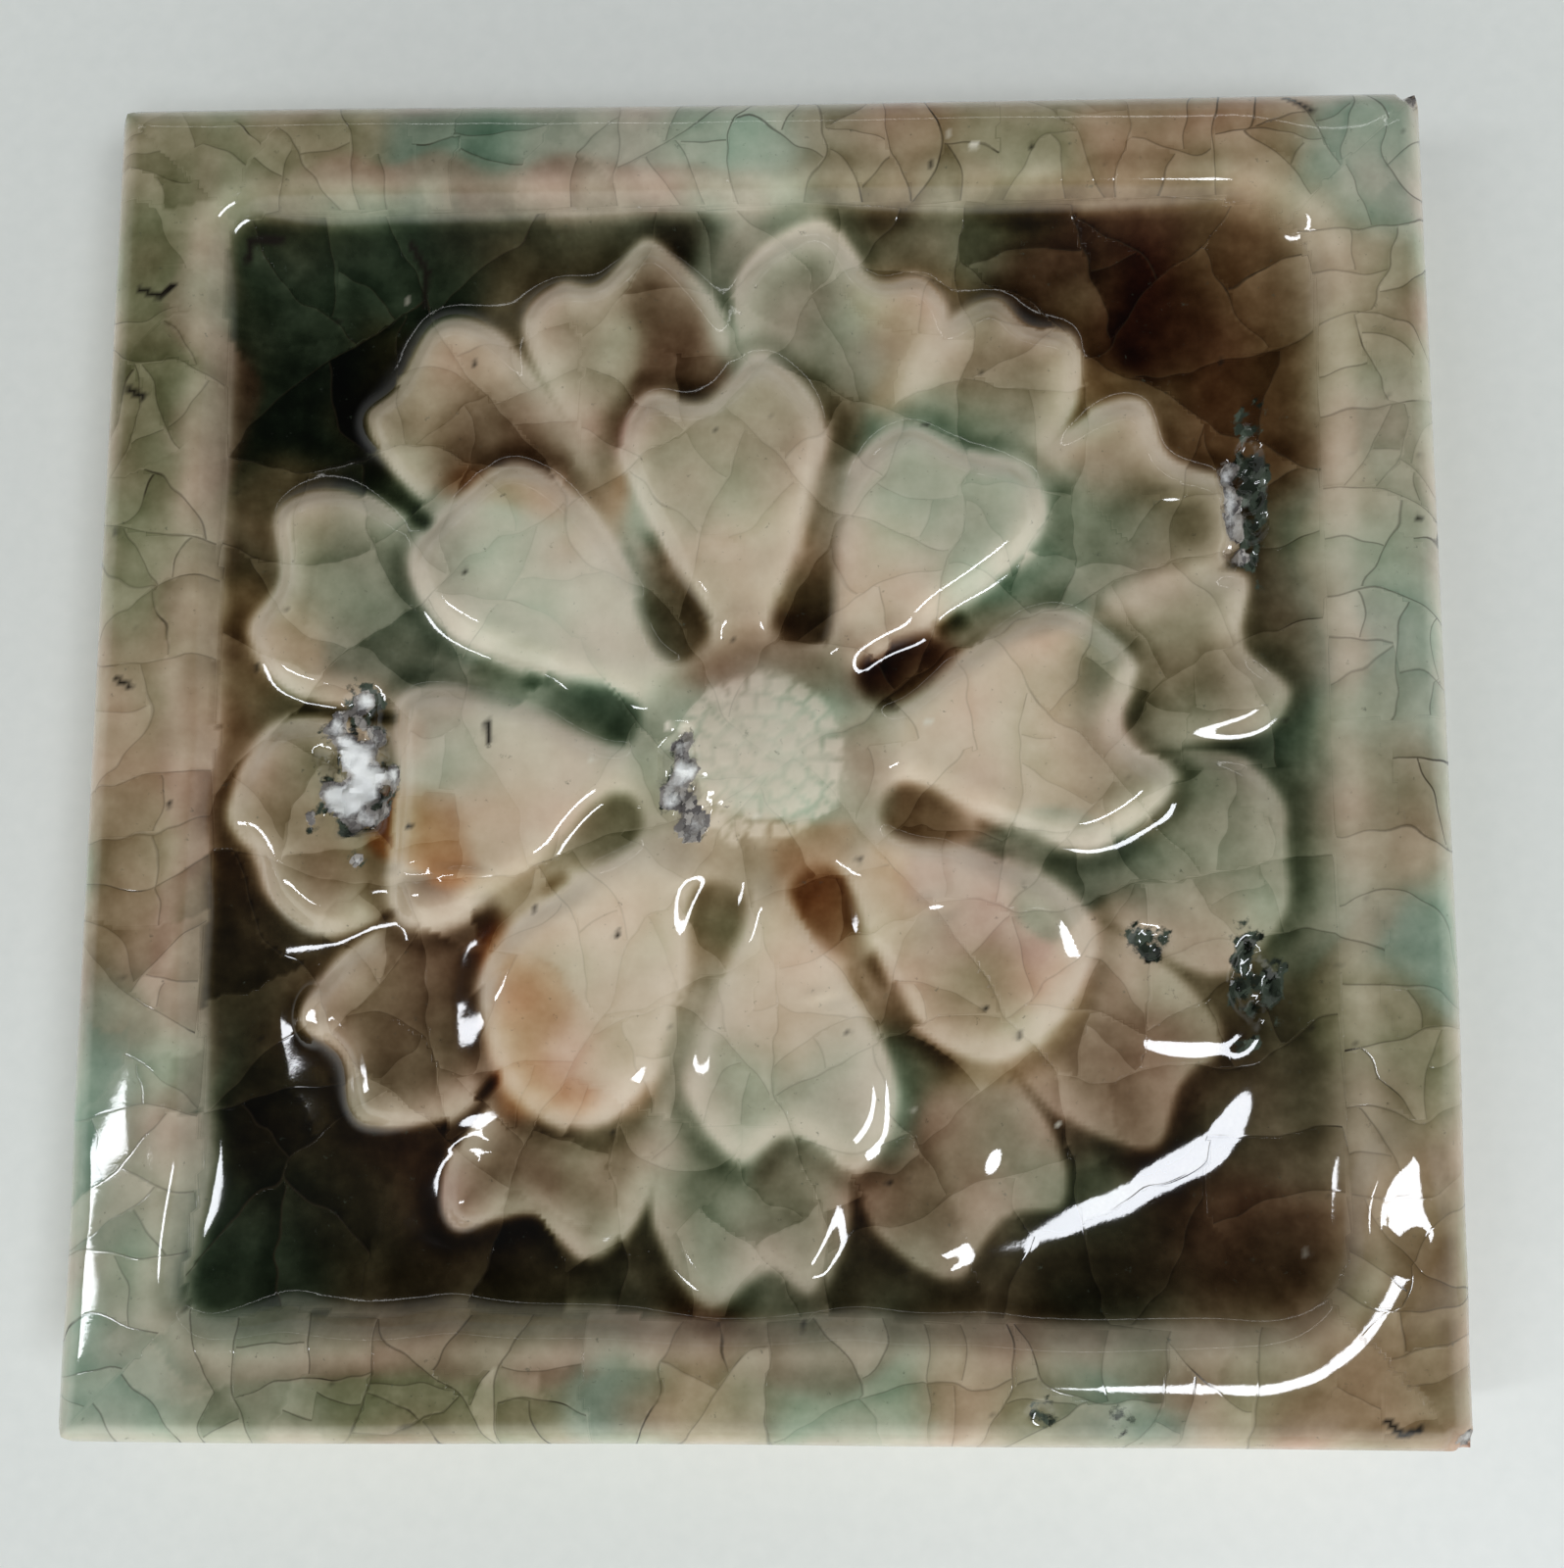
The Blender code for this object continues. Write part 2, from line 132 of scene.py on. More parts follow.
# Runs of glaze there, each a low step: its rise, the width of its wall, and its outline
GLAZE_RUNS = (
    (0.34, 3.4, (
        (3.0, -28.6), (11.0, -28.6), (14.2, -27.9), (18.0, -26.2), (21.5, -24.4), (24.8, -22.2),
        (26.7, -20.0), (27.2, -17.5), (25.0, -12.0), (15.0, -8.0), (5.0, -15.0),
    )),
    (0.16, 1.2, (
        (18.5, -10.5), (19.0, -13.7), (20.1, -15.9), (22.0, -16.8), (24.8, -16.9), (26.6, -16.5),
        (28.5, -13.5), (29.0, -8.5), (26.5, -5.0), (20.0, -5.0), (16.0, -7.0),
    )),
)

# Small flats in its surface: middle, half-size, downhill bearing and slope
FLATS = (
    ((34.3, -24.6), (1.8, 3.0), -84, 0.142),
    ((-18.2, -7.4), (2.6, 0.45), -150, 0.225),
    ((3.6, -14.1), (1.0, 0.4), -50, 0.300),
    ((12.7, -23.0), (0.8, 1.2), -45, 0.200),
    ((9.6, -9.2), (1.2, 0.6), -56, 0.284),
    ((23.2, 13.9), (1.4, 0.6), -79, 0.400),
    ((-25.3, -15.2), (0.9, 1.4), -156, 0.160),
    ((-15.8, -20.9), (1.5, 0.8), -175, 0.210),
    ((-15.7, -22.7), (1.6, 0.5), -175, 0.210),
)
# How far the pool's border swings in and out in scallops at the lower left, and how wide they are
SCALLOP = 0.7
SCALLOP_WIDTH = 14.0

# Craze pieces: how large they are, how many of their cracks show, how those run, and how each piece differs
CRAZE_SEED = 5
CRAZE_ROUNDS = 9
CRAZE_SHOWN = 0.75
CRAZE_SPREAD = (0.95, 1.75)
CRAZE_SKEW = 0.14
CRAZE_OFFSET = 0.13
CRAZE_BEND = 0.35
CRAZE_WAVES = ((0.45, 7.0), (0.10, 1.8))
BAR_CRAZE = 3.6
PETAL_CRAZE = 3.8
POOL_CRAZE = 6.0
PIECE_TONE = 0.13
PIECE_TONE_PETAL = 0.06
PIECE_SHIFT = 0.24
PIECE_SHIFT_PETAL = 0.12
PIECE_TILT = 0.003
TINT_WAVER = 0.035
TINT_SWING = np.array((1.0, -0.5, -0.2))
# Painted light and shade beside each crack: how much thinner or deeper the glaze is made on either side, and
# how far out that reaches
CRACK_PAINTED_LIGHT = 0.14
CRACK_PAINTED_LIGHT_RUN = 1.3
CRACK_LINE = (0.01, 0.09)
CRACK_HALO = 0.7
FAR = 9.0

# The mesh: cells along each side of the face, how far in the corners' rounding reaches, the angle over which
# an edge is sharp, and rings down the sides as (share of the height, how far the wavering lip moves it, how
# far in it lies). The first rings are glazed and the others bare clay.
FACE_CELLS = 290
CORNER_REACH = 6.0
SHARP_ANGLE = 50.0
GLAZED_RINGS = 6
SIDE_PROFILE = (
    (0.90, 0.00, 0.05), (0.76, 0.00, 0.10), (0.60, 0.03, 0.12), (0.46, 0.06, 0.10), (0.38, 0.08, 0.08),
    (0.345, 0.09, 0.22), (0.28, 0.05, 0.30), (0.05, 0.00, 0.30), (0.0, 0.00, 0.60),
)
# How far the cracks and colours lean as they run down the sides, in cells a ring
SIDE_LEAN = 0.9
# How much of the edge's chips, its dirt and its crack lines is left at each further ring down the sides
SIDE_FADES = (0.4, 0.4, 0.75)
GROOVE_COUNT = 6
GROOVE_WIDTH = 4.5
GROOVE_DEPTH = 1.0
GROOVE_MARGIN = 8.0

# Reaches in the petals' rows are in parts of the rosette's radius, this many to the whole
REACH_PARTS = 31
INNER_ROOT = (5.0, 1.1)
OUTER_ROOT = (15.0, 3.4)
SIDE_BULGE = 0.03
TUCK_REACHES = (15.0, 25.0)

# One row for each petal, from its left shoulder over the tip to its right: (bearing in degrees, reach) of the
# left shoulder, left lobe, notch, right lobe and right shoulder. Bearings turn anticlockwise from +X.
INNER_PETALS = (
    ((115, 19.9), (107, 22.5), (99, 21.3), (90, 23.8), (79, 19.9)),
    ((74, 17.5), (67, 21.2), (57, 21.4), (47, 22.6), (38, 20.2)),
    ((29, 18.3), (15, 21.9), (5, 20.3), (-4, 23.2), (-16, 18.7)),
    ((-22, 17.3), (-27, 20.8), (-37, 21.8), (-51, 21.4), (-60, 17.3)),
    ((-68, 20.0), (-77, 23.2), (-85, 20.8), (-93, 22.2), (-103, 18.5)),
    ((-108, 18.4), (-115, 22.5), (-126, 23.2), (-140, 20.8), (-147, 16.8)),
    ((-152, 19.8), (-158, 22.3), (-178, 20.8), (-190, 21.0), (-195, 17.5)),
    ((158, 19.5), (150, 23.5), (138, 23.3), (129, 22.6), (124, 18.5)),
)
OUTER_PETALS = (
    ((93, 29.0), (84, 32.2), (77, 29.4), (72, 30.3), (67, 28.2)),
    ((68, 27.5), (64, 30.6), (59, 30.0), (54, 30.9), (49, 27.5)),
    ((48, 27.0), (44, 30.4), (37, 29.3), (31, 31.2), (23, 29.0)),
    ((24, 26.5), (21, 29.6), (14, 28.2), (8, 30.1), (3, 28.0)),
    ((1, 26.5), (-4, 29.2), (-9, 29.6), (-16, 30.3), (-25, 28.0)),
    ((-27, 26.0), (-31, 29.6), (-38, 29.2), (-45, 30.3), (-50, 26.5)),
    ((-52, 26.5), (-56, 29.5), (-62, 28.4), (-70, 30.1), (-77, 26.3)),
    ((-79, 25.4), (-84, 29.2), (-89, 28.0), (-96, 30.1), (-104, 25.7)),
    ((-105, 26.0), (-109, 29.2), (-117, 28.3), (-123, 31.1), (-128, 28.5)),
    ((-131, 26.4), (-138, 30.3), (-145, 29.0), (-151, 29.9), (-156, 25.4)),
    ((-158, 26.5), (-164, 28.9), (-169, 29.3), (-175, 30.6), (-185, 28.0)),
    ((172, 27.5), (166, 30.7), (159, 30.2), (152, 32.3), (146, 29.1)),
    ((142, 28.0), (139, 31.4), (134, 31.2), (126, 32.8), (121, 29.8)),
    ((119, 29.6), (113, 31.2), (109, 30.2), (102, 32.0), (95, 27.0)),
)
# Hollows between the inner petals: the bulb's middle, the outer end, and half the width at each
HOLLOWS = (
    ((74.0, 8.0), (76.0, 18.5), (1.45, 0.80)),
    ((32.0, 8.2), (31.5, 19.0), (1.45, 0.70)),
    ((-18.5, 8.6), (-19.5, 17.0), (1.40, 0.70)),
    ((-66.5, 8.0), (-63.5, 17.0), (1.50, 0.75)),
    ((-106.0, 8.3), (-105.0, 19.0), (1.50, 0.75)),
    ((-157.0, 8.6), (-150.5, 18.0), (1.40, 0.70)),
    ((164.0, 8.3), (163.0, 20.0), (1.50, 0.75)),
    ((121.0, 8.6), (119.5, 20.0), (1.55, 0.75)),
)
# Folds along the petals: both ends as (bearing, reach), and how far each stands up, in parts of their rise
PETAL_FOLDS = (
    ((106, 31.4), (111, 22.5), 0.30),
    ((146, 29.5), (146, 24.4), 0.22),
    ((-139, 18.6), (-121, 21.6), 0.16),
    ((14, 27.8), (9, 23.5), -0.22),
    ((84, 30.2), (80, 22.0), -0.16),
)
FOLD_HALF_WIDTH = 1.1

# Depth of the glaze over the clay, in millimetres, on each kind of form
PANEL_GLAZE = 2.0
FRAME_GLAZE = 0.70
CREST_GLAZE = 0.42
CREST_MIDDLE = -1.3
CREST_REACH = 0.9
ARRIS_GLAZE = 0.22
OUTER_RIM_GLAZE = 0.27
OUTER_RIM_DEEP = 0.62
OUTER_DISH_GLAZE = 0.86
OUTER_TUCK_GLAZE = 0.35
INNER_RIM_GLAZE = 0.17
INNER_DISH_GLAZE = 0.28
INNER_TIP_GLAZE = 0.22
BUTTON_GLAZE = 0.16
COLLAR_GLAZE = 0.62
HOLLOW_GLAZE = 1.85
CHANNEL_GLAZE = 0.86
# Just outside each form the glaze is deeper, where it gathers at the wall's foot, and shade is painted in
# there as darker colour too
MOAT_GLAZE_AND_SHADE = 0.45
MOAT_MIDDLE = 0.7
MOAT_REACH = 0.6

# How far the dabs' outlines waver, and how long their waves are
DAB_WAVER = 0.8
DAB_WAVES = 6.0
# Each glaze: what white light keeps after a millimetre of it, and where it was dabbed, from the left to the
# right: middle, half-size, and how heavily it lies there
GLAZES = {
    "grey_green": ("#7ea29a", (
        (-36, -36, 4, 4, 0.85), (-36, -24, 4, 9, 1.15), (-1, 35, 3.5, 4, 0.65), (35, 35, 3, 4, 0.9),
        (36, 4, 4, 7, 0.85), (36, -10, 4, 2.5, 1.1),
    )),
    "mint": ("#9db3a6", (
        (-13, 0.5, 5, 2.5, 0.95), (-13, 10, 4, 3.5, 0.72), (-9.5, -1.5, 3, 1.8, 0.7), (-8, 6.5, 3, 3, 0.75),
        (0.5, 0, 4, 3, 0.9), (4, -36, 4, 4, 1.3), (5, -19, 2.5, 3, 1.15), (9, 14, 4, 4, 1.25),
        (14, 11, 3, 3, 1.25),
    )),
    "teal": ("#618075", (
        (-17, 35, 4, 4, 1.15), (-8.5, 35, 4, 4, 0.65), (-8.5, -36, 2.2, 4, 0.9), (19, -36, 3, 4, 1),
    )),
    "olive": ("#74785f", (
        (-36, 9, 4, 5, 0.95), (-36, 22, 4, 9, 1.38), (-33, 35, 5, 4, 0.95), (-25, 35, 3, 4, 1.1),
        (-20, -36, 4, 4, 1.25), (-13, -36, 2.6, 4, 1.2), (-2.4, -9.5, 1.6, 2.5, 0.55), (14, 35, 3, 4, 0.8),
        (14, -36, 3, 4, 0.85), (34, 0, 3, 3, 0.85), (35, -17, 4, 4, 0.85),
    )),
    "tan": ("#8c7d65", (
        (-36, -2, 4, 6, 0.95), (-27, -6, 3, 3, 0.9), (-25, -15, 3, 3, 0.85), (-18, 20, 2.5, 3, 0.48),
        (-3, -36, 3, 4, 1.15), (0, -7, 5, 1.5, 0.9), (8, -12, 2.5, 3, 1.3), (9.5, -14, 3, 3, 1.6),
        (10, -36, 2.5, 4, 0.95), (20, -1, 3, 3, 0.8), (21, 35, 4, 4, 0.95), (22, 17, 3, 3, 0.7),
        (28, 35, 3.5, 4, 0.95), (30, -36, 5, 4, 1.25), (32.8, 15, 1, 12, 0.45), (35, -5, 4, 3, 1.05),
        (35, -28, 4, 7, 1.35),
    )),
    "brown": ("#7c6950", (
        (-35, -11, 4, 4, 1.1), (-30, 2, 2.5, 5, 0.72), (-4.8, 7.2, 2.2, 3, 1.1), (9, 35, 3, 4, 1),
        (9, -4, 2.5, 1.6, 0.7), (14, 32.6, 10, 1.1, 2.1), (28, 20, 4, 5, 0.82), (28, 28, 3, 3, 0.75),
    )),
    "stone": ("#898570", (
        (-33.5, -22, 2, 10, 0.85), (-25, -1, 3, 3, 1.1), (-22, 20, 2.5, 3, 1.3), (-12, 25, 2.5, 5, 0.7),
        (-11, 16, 1.6, 3, 1.05), (-9, -25, 3, 4, 1.15), (-3, 17, 2.5, 3, 1.15), (2, 17, 2.5, 3, 1.15),
        (3.5, 12, 1.2, 3, 1.1), (5, 35, 3, 4, 1.05), (6, -1, 1.2, 2.5, 0.75), (13, 22, 3, 4, 1),
        (13.5, 7.5, 2.5, 1.4, 1.1), (23, -11, 3, 3, 0.62), (25, -35.5, 3, 4, 0.75), (25, 12, 3, 2.5, 1.7),
        (26, 5, 3, 3, 0.75), (32.8, -8, 1, 8, 0.95), (35, 25, 4, 5, 1),
    )),
    "smoke": ("#8d9788", (
        (-28, -35, 4, 4, 1.3), (-24, 10, 3, 4, 1.2), (-15, 3.5, 4, 1.4, 1.3), (-8.2, -4.8, 2.5, 1.6, 0.85),
        (-6.5, -1, 1.2, 3, 0.75), (-4, -16, 1.4, 3, 0.8), (-3.5, -24, 2.5, 4, 1.3), (-1, -19, 2, 3, 1.1),
        (0, 31, 3, 2, 0.3), (0, -28, 2.5, 3, 0.6), (3, 27, 3.5, 4, 0.72), (10, 30, 3, 2.5, 0.75),
        (16, -7, 3, 1.4, 1.3), (17, -24, 3, 3, 0.95), (19, 13, 3, 3, 1.1), (22, 0, 3.5, 3, 2.1),
        (26, -6, 4, 3, 1.15), (30, -8, 3, 4, 0.68), (34, 11, 3, 3, 0.85), (36, 17, 4, 3.5, 0.9),
    )),
    "bottle": ("#6b796c", (
        (-28, 28, 4, 4, 1), (-28, 19, 4, 5, 1.7), (-28, -28, 4, 4, 0.9), (-21, 28, 4, 3, 1.1),
        (-20, 7, 3, 4, 1), (-8.5, 1.4, 2.5, 1.5, 1.2), (20, -7, 2.5, 1.5, 1.1), (30, 1, 3, 4, 0.68),
    )),
    "umber": ("#797564", (
        (-30, 12, 3, 3, 0.8), (-29, -11, 3, 5, 1.05), (-26, -20, 4, 5, 1.5), (-20, -28, 4, 4, 1.1),
        (-13, 30, 5, 3, 1), (-11, -30, 5, 3, 0.95), (2.2, 7, 1.6, 2.5, 1.25), (3, -25, 2, 4, 1.2),
        (8, -30, 6, 3, 0.72), (18, -29, 5, 4, 1), (29, -19, 4, 4, 0.85), (29, 9, 3, 4, 0.7),
    )),
    "walnut": ("#7c6c5a", (
        (-20, -17, 4, 4, 1.2), (-16, -24, 3, 4, 1.35), (-15, 18, 3, 3, 1.25), (-6, 25, 2.5, 5, 1.4),
        (0, 4.8, 3, 1.4, 1.4), (7, -25, 2, 4, 1.2), (12, -24, 4, 3, 0.75), (15, -32.8, 12, 1, 1.25),
        (16, 28, 3, 3, 1), (18, -19, 3, 3, 1.2), (22, -17, 3, 3, 0.85), (28, -28, 5, 4, 1.1),
    )),
    "maroon": ("#6d5140", (
        (7.5, 4, 2.5, 1.6, 1.55), (22, 27, 4, 4, 1.1),
    )),
    "rust": ("#98693f", (
        (-18.7, -5.4, 2, 1.6, 1.1), (-14.6, 14, 2.4, 1.4, 1), (-13, -15.5, 1.5, 2.5, 0.9),
        (-10, 13, 1.4, 2.2, 0.6), (3.6, -9, 1.5, 2.8, 1.25), (7.5, -9, 1.4, 2.6, 0.6),
    )),
    "cream": ("#b3a58c", (
        (-28, 6, 2.5, 3, 0.85), (-28, 14, 2.5, 3, 0.6), (-12, -3, 4, 3, 1), (-6, -11, 4, 5, 0.8),
        (0, 10, 2.5, 4, 1.1), (2, -13, 3, 4, 0.9), (7, 9, 2, 3, 1.2), (9, 25, 2.5, 4, 0.9),
        (13, 1, 4, 3, 0.9), (14, -16, 3, 2.5, 1), (17, 22, 2.5, 3.5, 0.9),
    )),
    "pink": ("#977f74", (
        (-32.4, 20, 1, 10, 1.15), (-32.4, -8, 1, 12, 1.35), (-20, 32.6, 7, 1.1, 1.5),
        (-15, -32.8, 14, 1, 1.3), (-6, 32.6, 6, 1.1, 1.8), (11.5, -9.5, 2.4, 2, 0.8),
    )),
}

# Lost flakes: middle, half-size, depth, how bare the body is, how white its heart is, how dark its rim is
CHIPS = (
    ((-23.0, -1.5), (2.0, 3.4), 0.80, 1.0, 1.0, 0.7),
    ((-22.9, 2.4), (1.5, 1.1), 0.40, 0.0, 0.0, 0.9),
    ((-4.5, -1.3), (1.1, 2.1), 0.50, 1.0, 0.8, 0.6),
    ((-3.9, -3.6), (0.8, 1.4), 0.40, 1.0, 0.2, 0.6),
    ((26.7, 13.6), (0.7, 3.2), 0.60, 0.9, 0.5, 0.0),
    ((27.9, 14.4), (0.8, 3.8), 0.45, 0.0, 0.0, 1.4),
    ((27.1, -13.4), (1.2, 2.4), 0.55, 0.2, 0.0, 1.2),
    ((21.2, -11.2), (1.2, 0.9), 0.25, 0.2, 0.0, 0.8),
    ((37.3, -37.4), (0.9, 0.6), 0.30, 0.9, 0.6, 0.0),
    ((37.6, 37.4), (0.6, 0.8), 0.30, 0.7, 0.0, 0.3),
    ((15.0, -35.9), (0.8, 0.7), 0.20, 0.1, 0.0, 0.5),
    ((19.2, -36.4), (0.6, 0.9), 0.16, 0.1, 0.0, 0.5),
)
# Dark strokes where dirt has gone into an old crack: both ends and half the width
DIRTY_CRACKS = (
    ((-30.3, 30.2), (-28.6, 30.4), 0.14), ((-30.3, 30.2), (-30.6, 29.0), 0.10),
    ((-21.0, 30.2), (-20.1, 28.6), 0.12), ((-20.1, 28.6), (-20.2, 26.6), 0.09),
    ((-36.2, 26.6), (-35.0, 26.1), 0.10), ((-35.0, 26.1), (-34.2, 26.8), 0.09),
    ((-36.6, 20.6), (-35.7, 20.1), 0.12), ((-15.3, 1.1), (-15.2, 0.1), 0.13),
    ((33.2, -36.2), (34.0, -37.0), 0.12), ((34.0, -37.0), (35.0, -36.6), 0.10),
    ((-36.4, 3.6), (-35.6, 3.2), 0.09), ((30.3, 37.6), (31.6, 36.4), 0.10),
)
# How soft the outlines of the strokes and dots are, and how the specks are scattered
DOT_BLUR = 0.16
SPECK_COUNT = 60
SPECK_RADII = (0.02, 0.10)
SPECK_REACH = 37.0
# Pinholes and specks that are placed: place, radius
SPECKS = (
    (-19.6, -4.7, 0.13), (-7.9, -10.7, 0.12), (12.3, -14.7, 0.12), (-29.2, 4.6, 0.10), (7.0, -24.1, 0.10),
    (-36.9, 12.2, 0.10), (-33.1, -3.5, 0.10), (36.6, 12.4, 0.11), (-12.6, -9.3, 0.09), (-8.2, -21.6, 0.09),
)
# Burst bubbles, whose pale rims show: place, radius
BUBBLES = (
    (-5.2, 0.9, 0.16), (9.3, 1.0, 0.12), (-9.4, -1.0, 0.12), (-0.2, -4.2, 0.14), (12.2, 34.6, 0.16),
    (10.8, 35.3, 0.07), (-21.3, 26.9, 0.06), (16.3, -21.0, 0.07), (8.3, -20.3, 0.06), (29.5, -27.7, 0.06),
)


def smooth_step(values, start, end):
    """Zero up to the start, one from the end on, and an even S between them."""
    share = np.clip((values - start) / (end - start), 0.0, 1.0)
    return share * share * (3.0 - 2.0 * share)


def smooth_max(first, second, blend):
    """The higher of two surfaces, with a fillet of about the blend's size where they cross."""
    share = np.clip(0.5 + 0.5 * (first - second) / blend, 0.0, 1.0)
    return second + (first - second) * share + blend * share * (1.0 - share)


def mix(first, second, share):
    """The first where the share is none, the second where it is one."""
    return first + (second - first) * share


def hump(values, middle, reach):
    """A bump that is one at its middle and has fallen to about a third at its reach."""
    return np.exp(-(((values - middle) / reach) ** 2))


def on_rosette(bearing, reach):
    """The point at a bearing and a reach from the rosette's middle."""
    distance = reach * ROSETTE_RADIUS / REACH_PARTS
    angle = math.radians(bearing)
    return distance * math.cos(angle), ROSETTE_CENTRE_Y + distance * math.sin(angle)


def closed_curve(points, steps=8):
    """A closed Catmull-Rom curve through the points."""
    knots = np.array(points)
    before, after, beyond = np.roll(knots, 1, 0), np.roll(knots, -1, 0), np.roll(knots, -2, 0)
    t = (np.arange(steps) / steps)[None, :, None]
    curve = 0.5 * (
        2.0 * knots[:, None]
        + (after - before)[:, None] * t
        + (2.0 * before - 5.0 * knots + 4.0 * after - beyond)[:, None] * t**2
        + (3.0 * knots - before - 3.0 * after + beyond)[:, None] * t**3
    )
    return curve.reshape(-1, 2)


def segment_distance(x, y, start, end):
    """Distance from each place to the straight line between two points, and the share of the way along it."""
    along = (end[0] - start[0], end[1] - start[1])
    length_squared = along[0] ** 2 + along[1] ** 2
    share = np.clip(((x - start[0]) * along[0] + (y - start[1]) * along[1]) / length_squared, 0.0, 1.0)
    return np.hypot(x - start[0] - share * along[0], y - start[1] - share * along[1]), share


def depth_inside(x, y, outline):
    """Distance in from a closed outline, negative outside it. A line to +X crosses it an odd number of times
    from every place inside."""
    nearest = np.full(x.shape, np.inf)
    inside = np.zeros(x.shape, bool)
    for start, end in zip(outline, np.roll(outline, -1, 0)):
        nearest = np.minimum(nearest, segment_distance(x, y, start, end)[0])
        if start[1] != end[1]:
            crossing = start[0] + (y - start[1]) / (end[1] - start[1]) * (end[0] - start[0])
            inside ^= ((start[1] > y) != (end[1] > y)) & (x < crossing)
    return np.where(inside, nearest, -nearest)


def petal_outline(row, root):
    """The closed outline of a petal: its root, its two sides, and its lobed tip."""
    root_reach, root_half_width = root
    left, right = on_rosette(*row[0]), on_rosette(*row[-1])
    axis = math.radians((row[0][0] + row[-1][0]) / 2)
    across = np.array((-math.sin(axis), math.cos(axis)))
    root_middle = np.array(on_rosette(math.degrees(axis), root_reach))
    root_left = root_middle + across * root_half_width
    root_right = root_middle - across * root_half_width
    bulge = SIDE_BULGE * math.dist(root_left, left)
    side_left = 0.5 * (root_left + left) + across * bulge
    side_right = 0.5 * (root_right + right) - across * bulge
    tip = [on_rosette(*place) for place in row]
    return closed_curve([root_left, side_left, *tip, side_right, root_right])


def panel_depth(x, y):
    """Distance in from the panel's outline, a rectangle whose right corners are the rounder ones."""
    radius = mix(PANEL_CORNER_LEFT, PANEL_CORNER_RIGHT, smooth_step(x, -5.0, 5.0))
    over_x = np.abs(x) - PANEL_HALF_WIDTH + radius
    over_y = np.abs(y) - PANEL_HALF_HEIGHT + radius
    outside = np.hypot(np.maximum(over_x, 0.0), np.maximum(over_y, 0.0))
    return radius - outside - np.minimum(np.maximum(over_x, over_y), 0.0)


def raised(depth, rise, wall_run):
    """Height over the panel of a form with an S-shaped wall, which starts at the sunk level outside it."""
    foot = -WALL_FOOT * wall_run
    return SUNK_LEVEL + (rise - SUNK_LEVEL) * smooth_step(depth, foot, foot + wall_run)


def blurred(field, radius, spacing):
    """The field run through a Gaussian of that radius along its rows and then along its columns."""
    reach = max(1, int(round(3.0 * radius / spacing)))
    offsets = np.arange(-reach, reach + 1)
    weights = np.exp(-0.5 * (offsets * spacing / radius) ** 2)
    weights /= weights.sum()
    for axis in (0, 1):
        pad = [(0, 0), (0, 0)]
        pad[axis] = (reach, reach)
        padded = np.pad(field, pad, mode="edge")
        count = field.shape[axis]
        field = sum(w * np.take(padded, range(i, i + count), axis) for i, w in enumerate(weights))
    return field


def unevenness(shape, wavelength, spacing, seed):
    """A smooth random field about zero, whose humps are about a wavelength apart and about one high."""
    field = np.random.default_rng(seed).standard_normal(shape)
    field = blurred(field, wavelength / 4.0, spacing)
    return field / field.std()


class Face:
    """The modelled face on a grid of places: how far each is in each form, for its heights and glaze."""

    def __init__(self, x, y, spacing):
        self.x, self.y, self.spacing = x, y, spacing
        self.edge = np.minimum(HALF_WIDTH - np.abs(x), HALF_HEIGHT - np.abs(y))
        self.panel = panel_depth(x, y)
        self.lower_left = smooth_step(-x - y, 5.0, 35.0)
        swing = np.minimum(np.abs(self.ripple(SCALLOP_WIDTH, 58)), 1.4)
        self.pool = self.panel + SCALLOP * (swing - 0.9) * self.lower_left
        self.distance = np.hypot(x, y - ROSETTE_CENTRE_Y)
        self.reach = self.distance * REACH_PARTS / ROSETTE_RADIUS
        self.outer = [depth_inside(x, y, petal_outline(row, OUTER_ROOT)) for row in OUTER_PETALS]
        self.inner = [depth_inside(x, y, petal_outline(row, INNER_ROOT)) for row in INNER_PETALS]
        self.open_panel = (np.max(self.outer + self.inner, 0) < 0.0) * 1.0

    def ripple(self, wavelength, seed):
        return unevenness(self.x.shape, wavelength, self.spacing, seed)


def hollows(face):
    """For each hollow, a bulb with a channel out from it: the distance in and the share of the way along."""
    for start, end, (bulb, channel) in HOLLOWS:
        distance, along = segment_distance(face.x, face.y, on_rosette(*start), on_rosette(*end))
        yield mix(bulb, channel, smooth_step(along, 0.05, 0.50)) - distance, along


def folds(face):
    """The folds' height: a ridge along each, round in section and fading to its ends."""
    total = np.zeros(face.x.shape)
    for start, end, share in PETAL_FOLDS:
        distance, along = segment_distance(face.x, face.y, on_rosette(*start), on_rosette(*end))
        ridge = hump(distance, 0.0, FOLD_HALF_WIDTH) * np.sin(np.pi * along) ** 0.5
        total += share * OUTER_RISE * ridge
    return total


def beads(face):
    """Rings of squarish beads round the button's middle: one on each, zero in the gaps between them."""
    bearing = np.arctan2(face.y - ROSETTE_CENTRE_Y, face.x) + 0.03 * face.ripple(2.0, 61)
    rings = face.distance / BEAD_PITCH + 0.10 * face.ripple(1.8, 62)
    count = np.round(2.0 * np.pi * (np.floor(rings) + 0.5))
    apart = np.minimum(np.abs(np.sin(np.pi * rings)), np.abs(np.sin(0.5 * count * bearing)))
    return smooth_step(apart, 0.0, 0.6)


def from_oval(face, middle, half_size):
    """Distance from an oval's middle in parts of its half-size, so that it is one on the oval's outline."""
    return np.hypot((face.x - middle[0]) / half_size[0], (face.y - middle[1]) / half_size[1])


def from_middles(piece, x, y):
    """The pieces numbered from zero, how many places each has, and how far each place is from its middle."""
    _, piece = np.unique(piece, return_inverse=True)
    count = np.bincount(piece)
    from_x, from_y = (v - (np.bincount(piece, v) / count)[piece] for v in (x, y))
    return piece, count, from_x, from_y


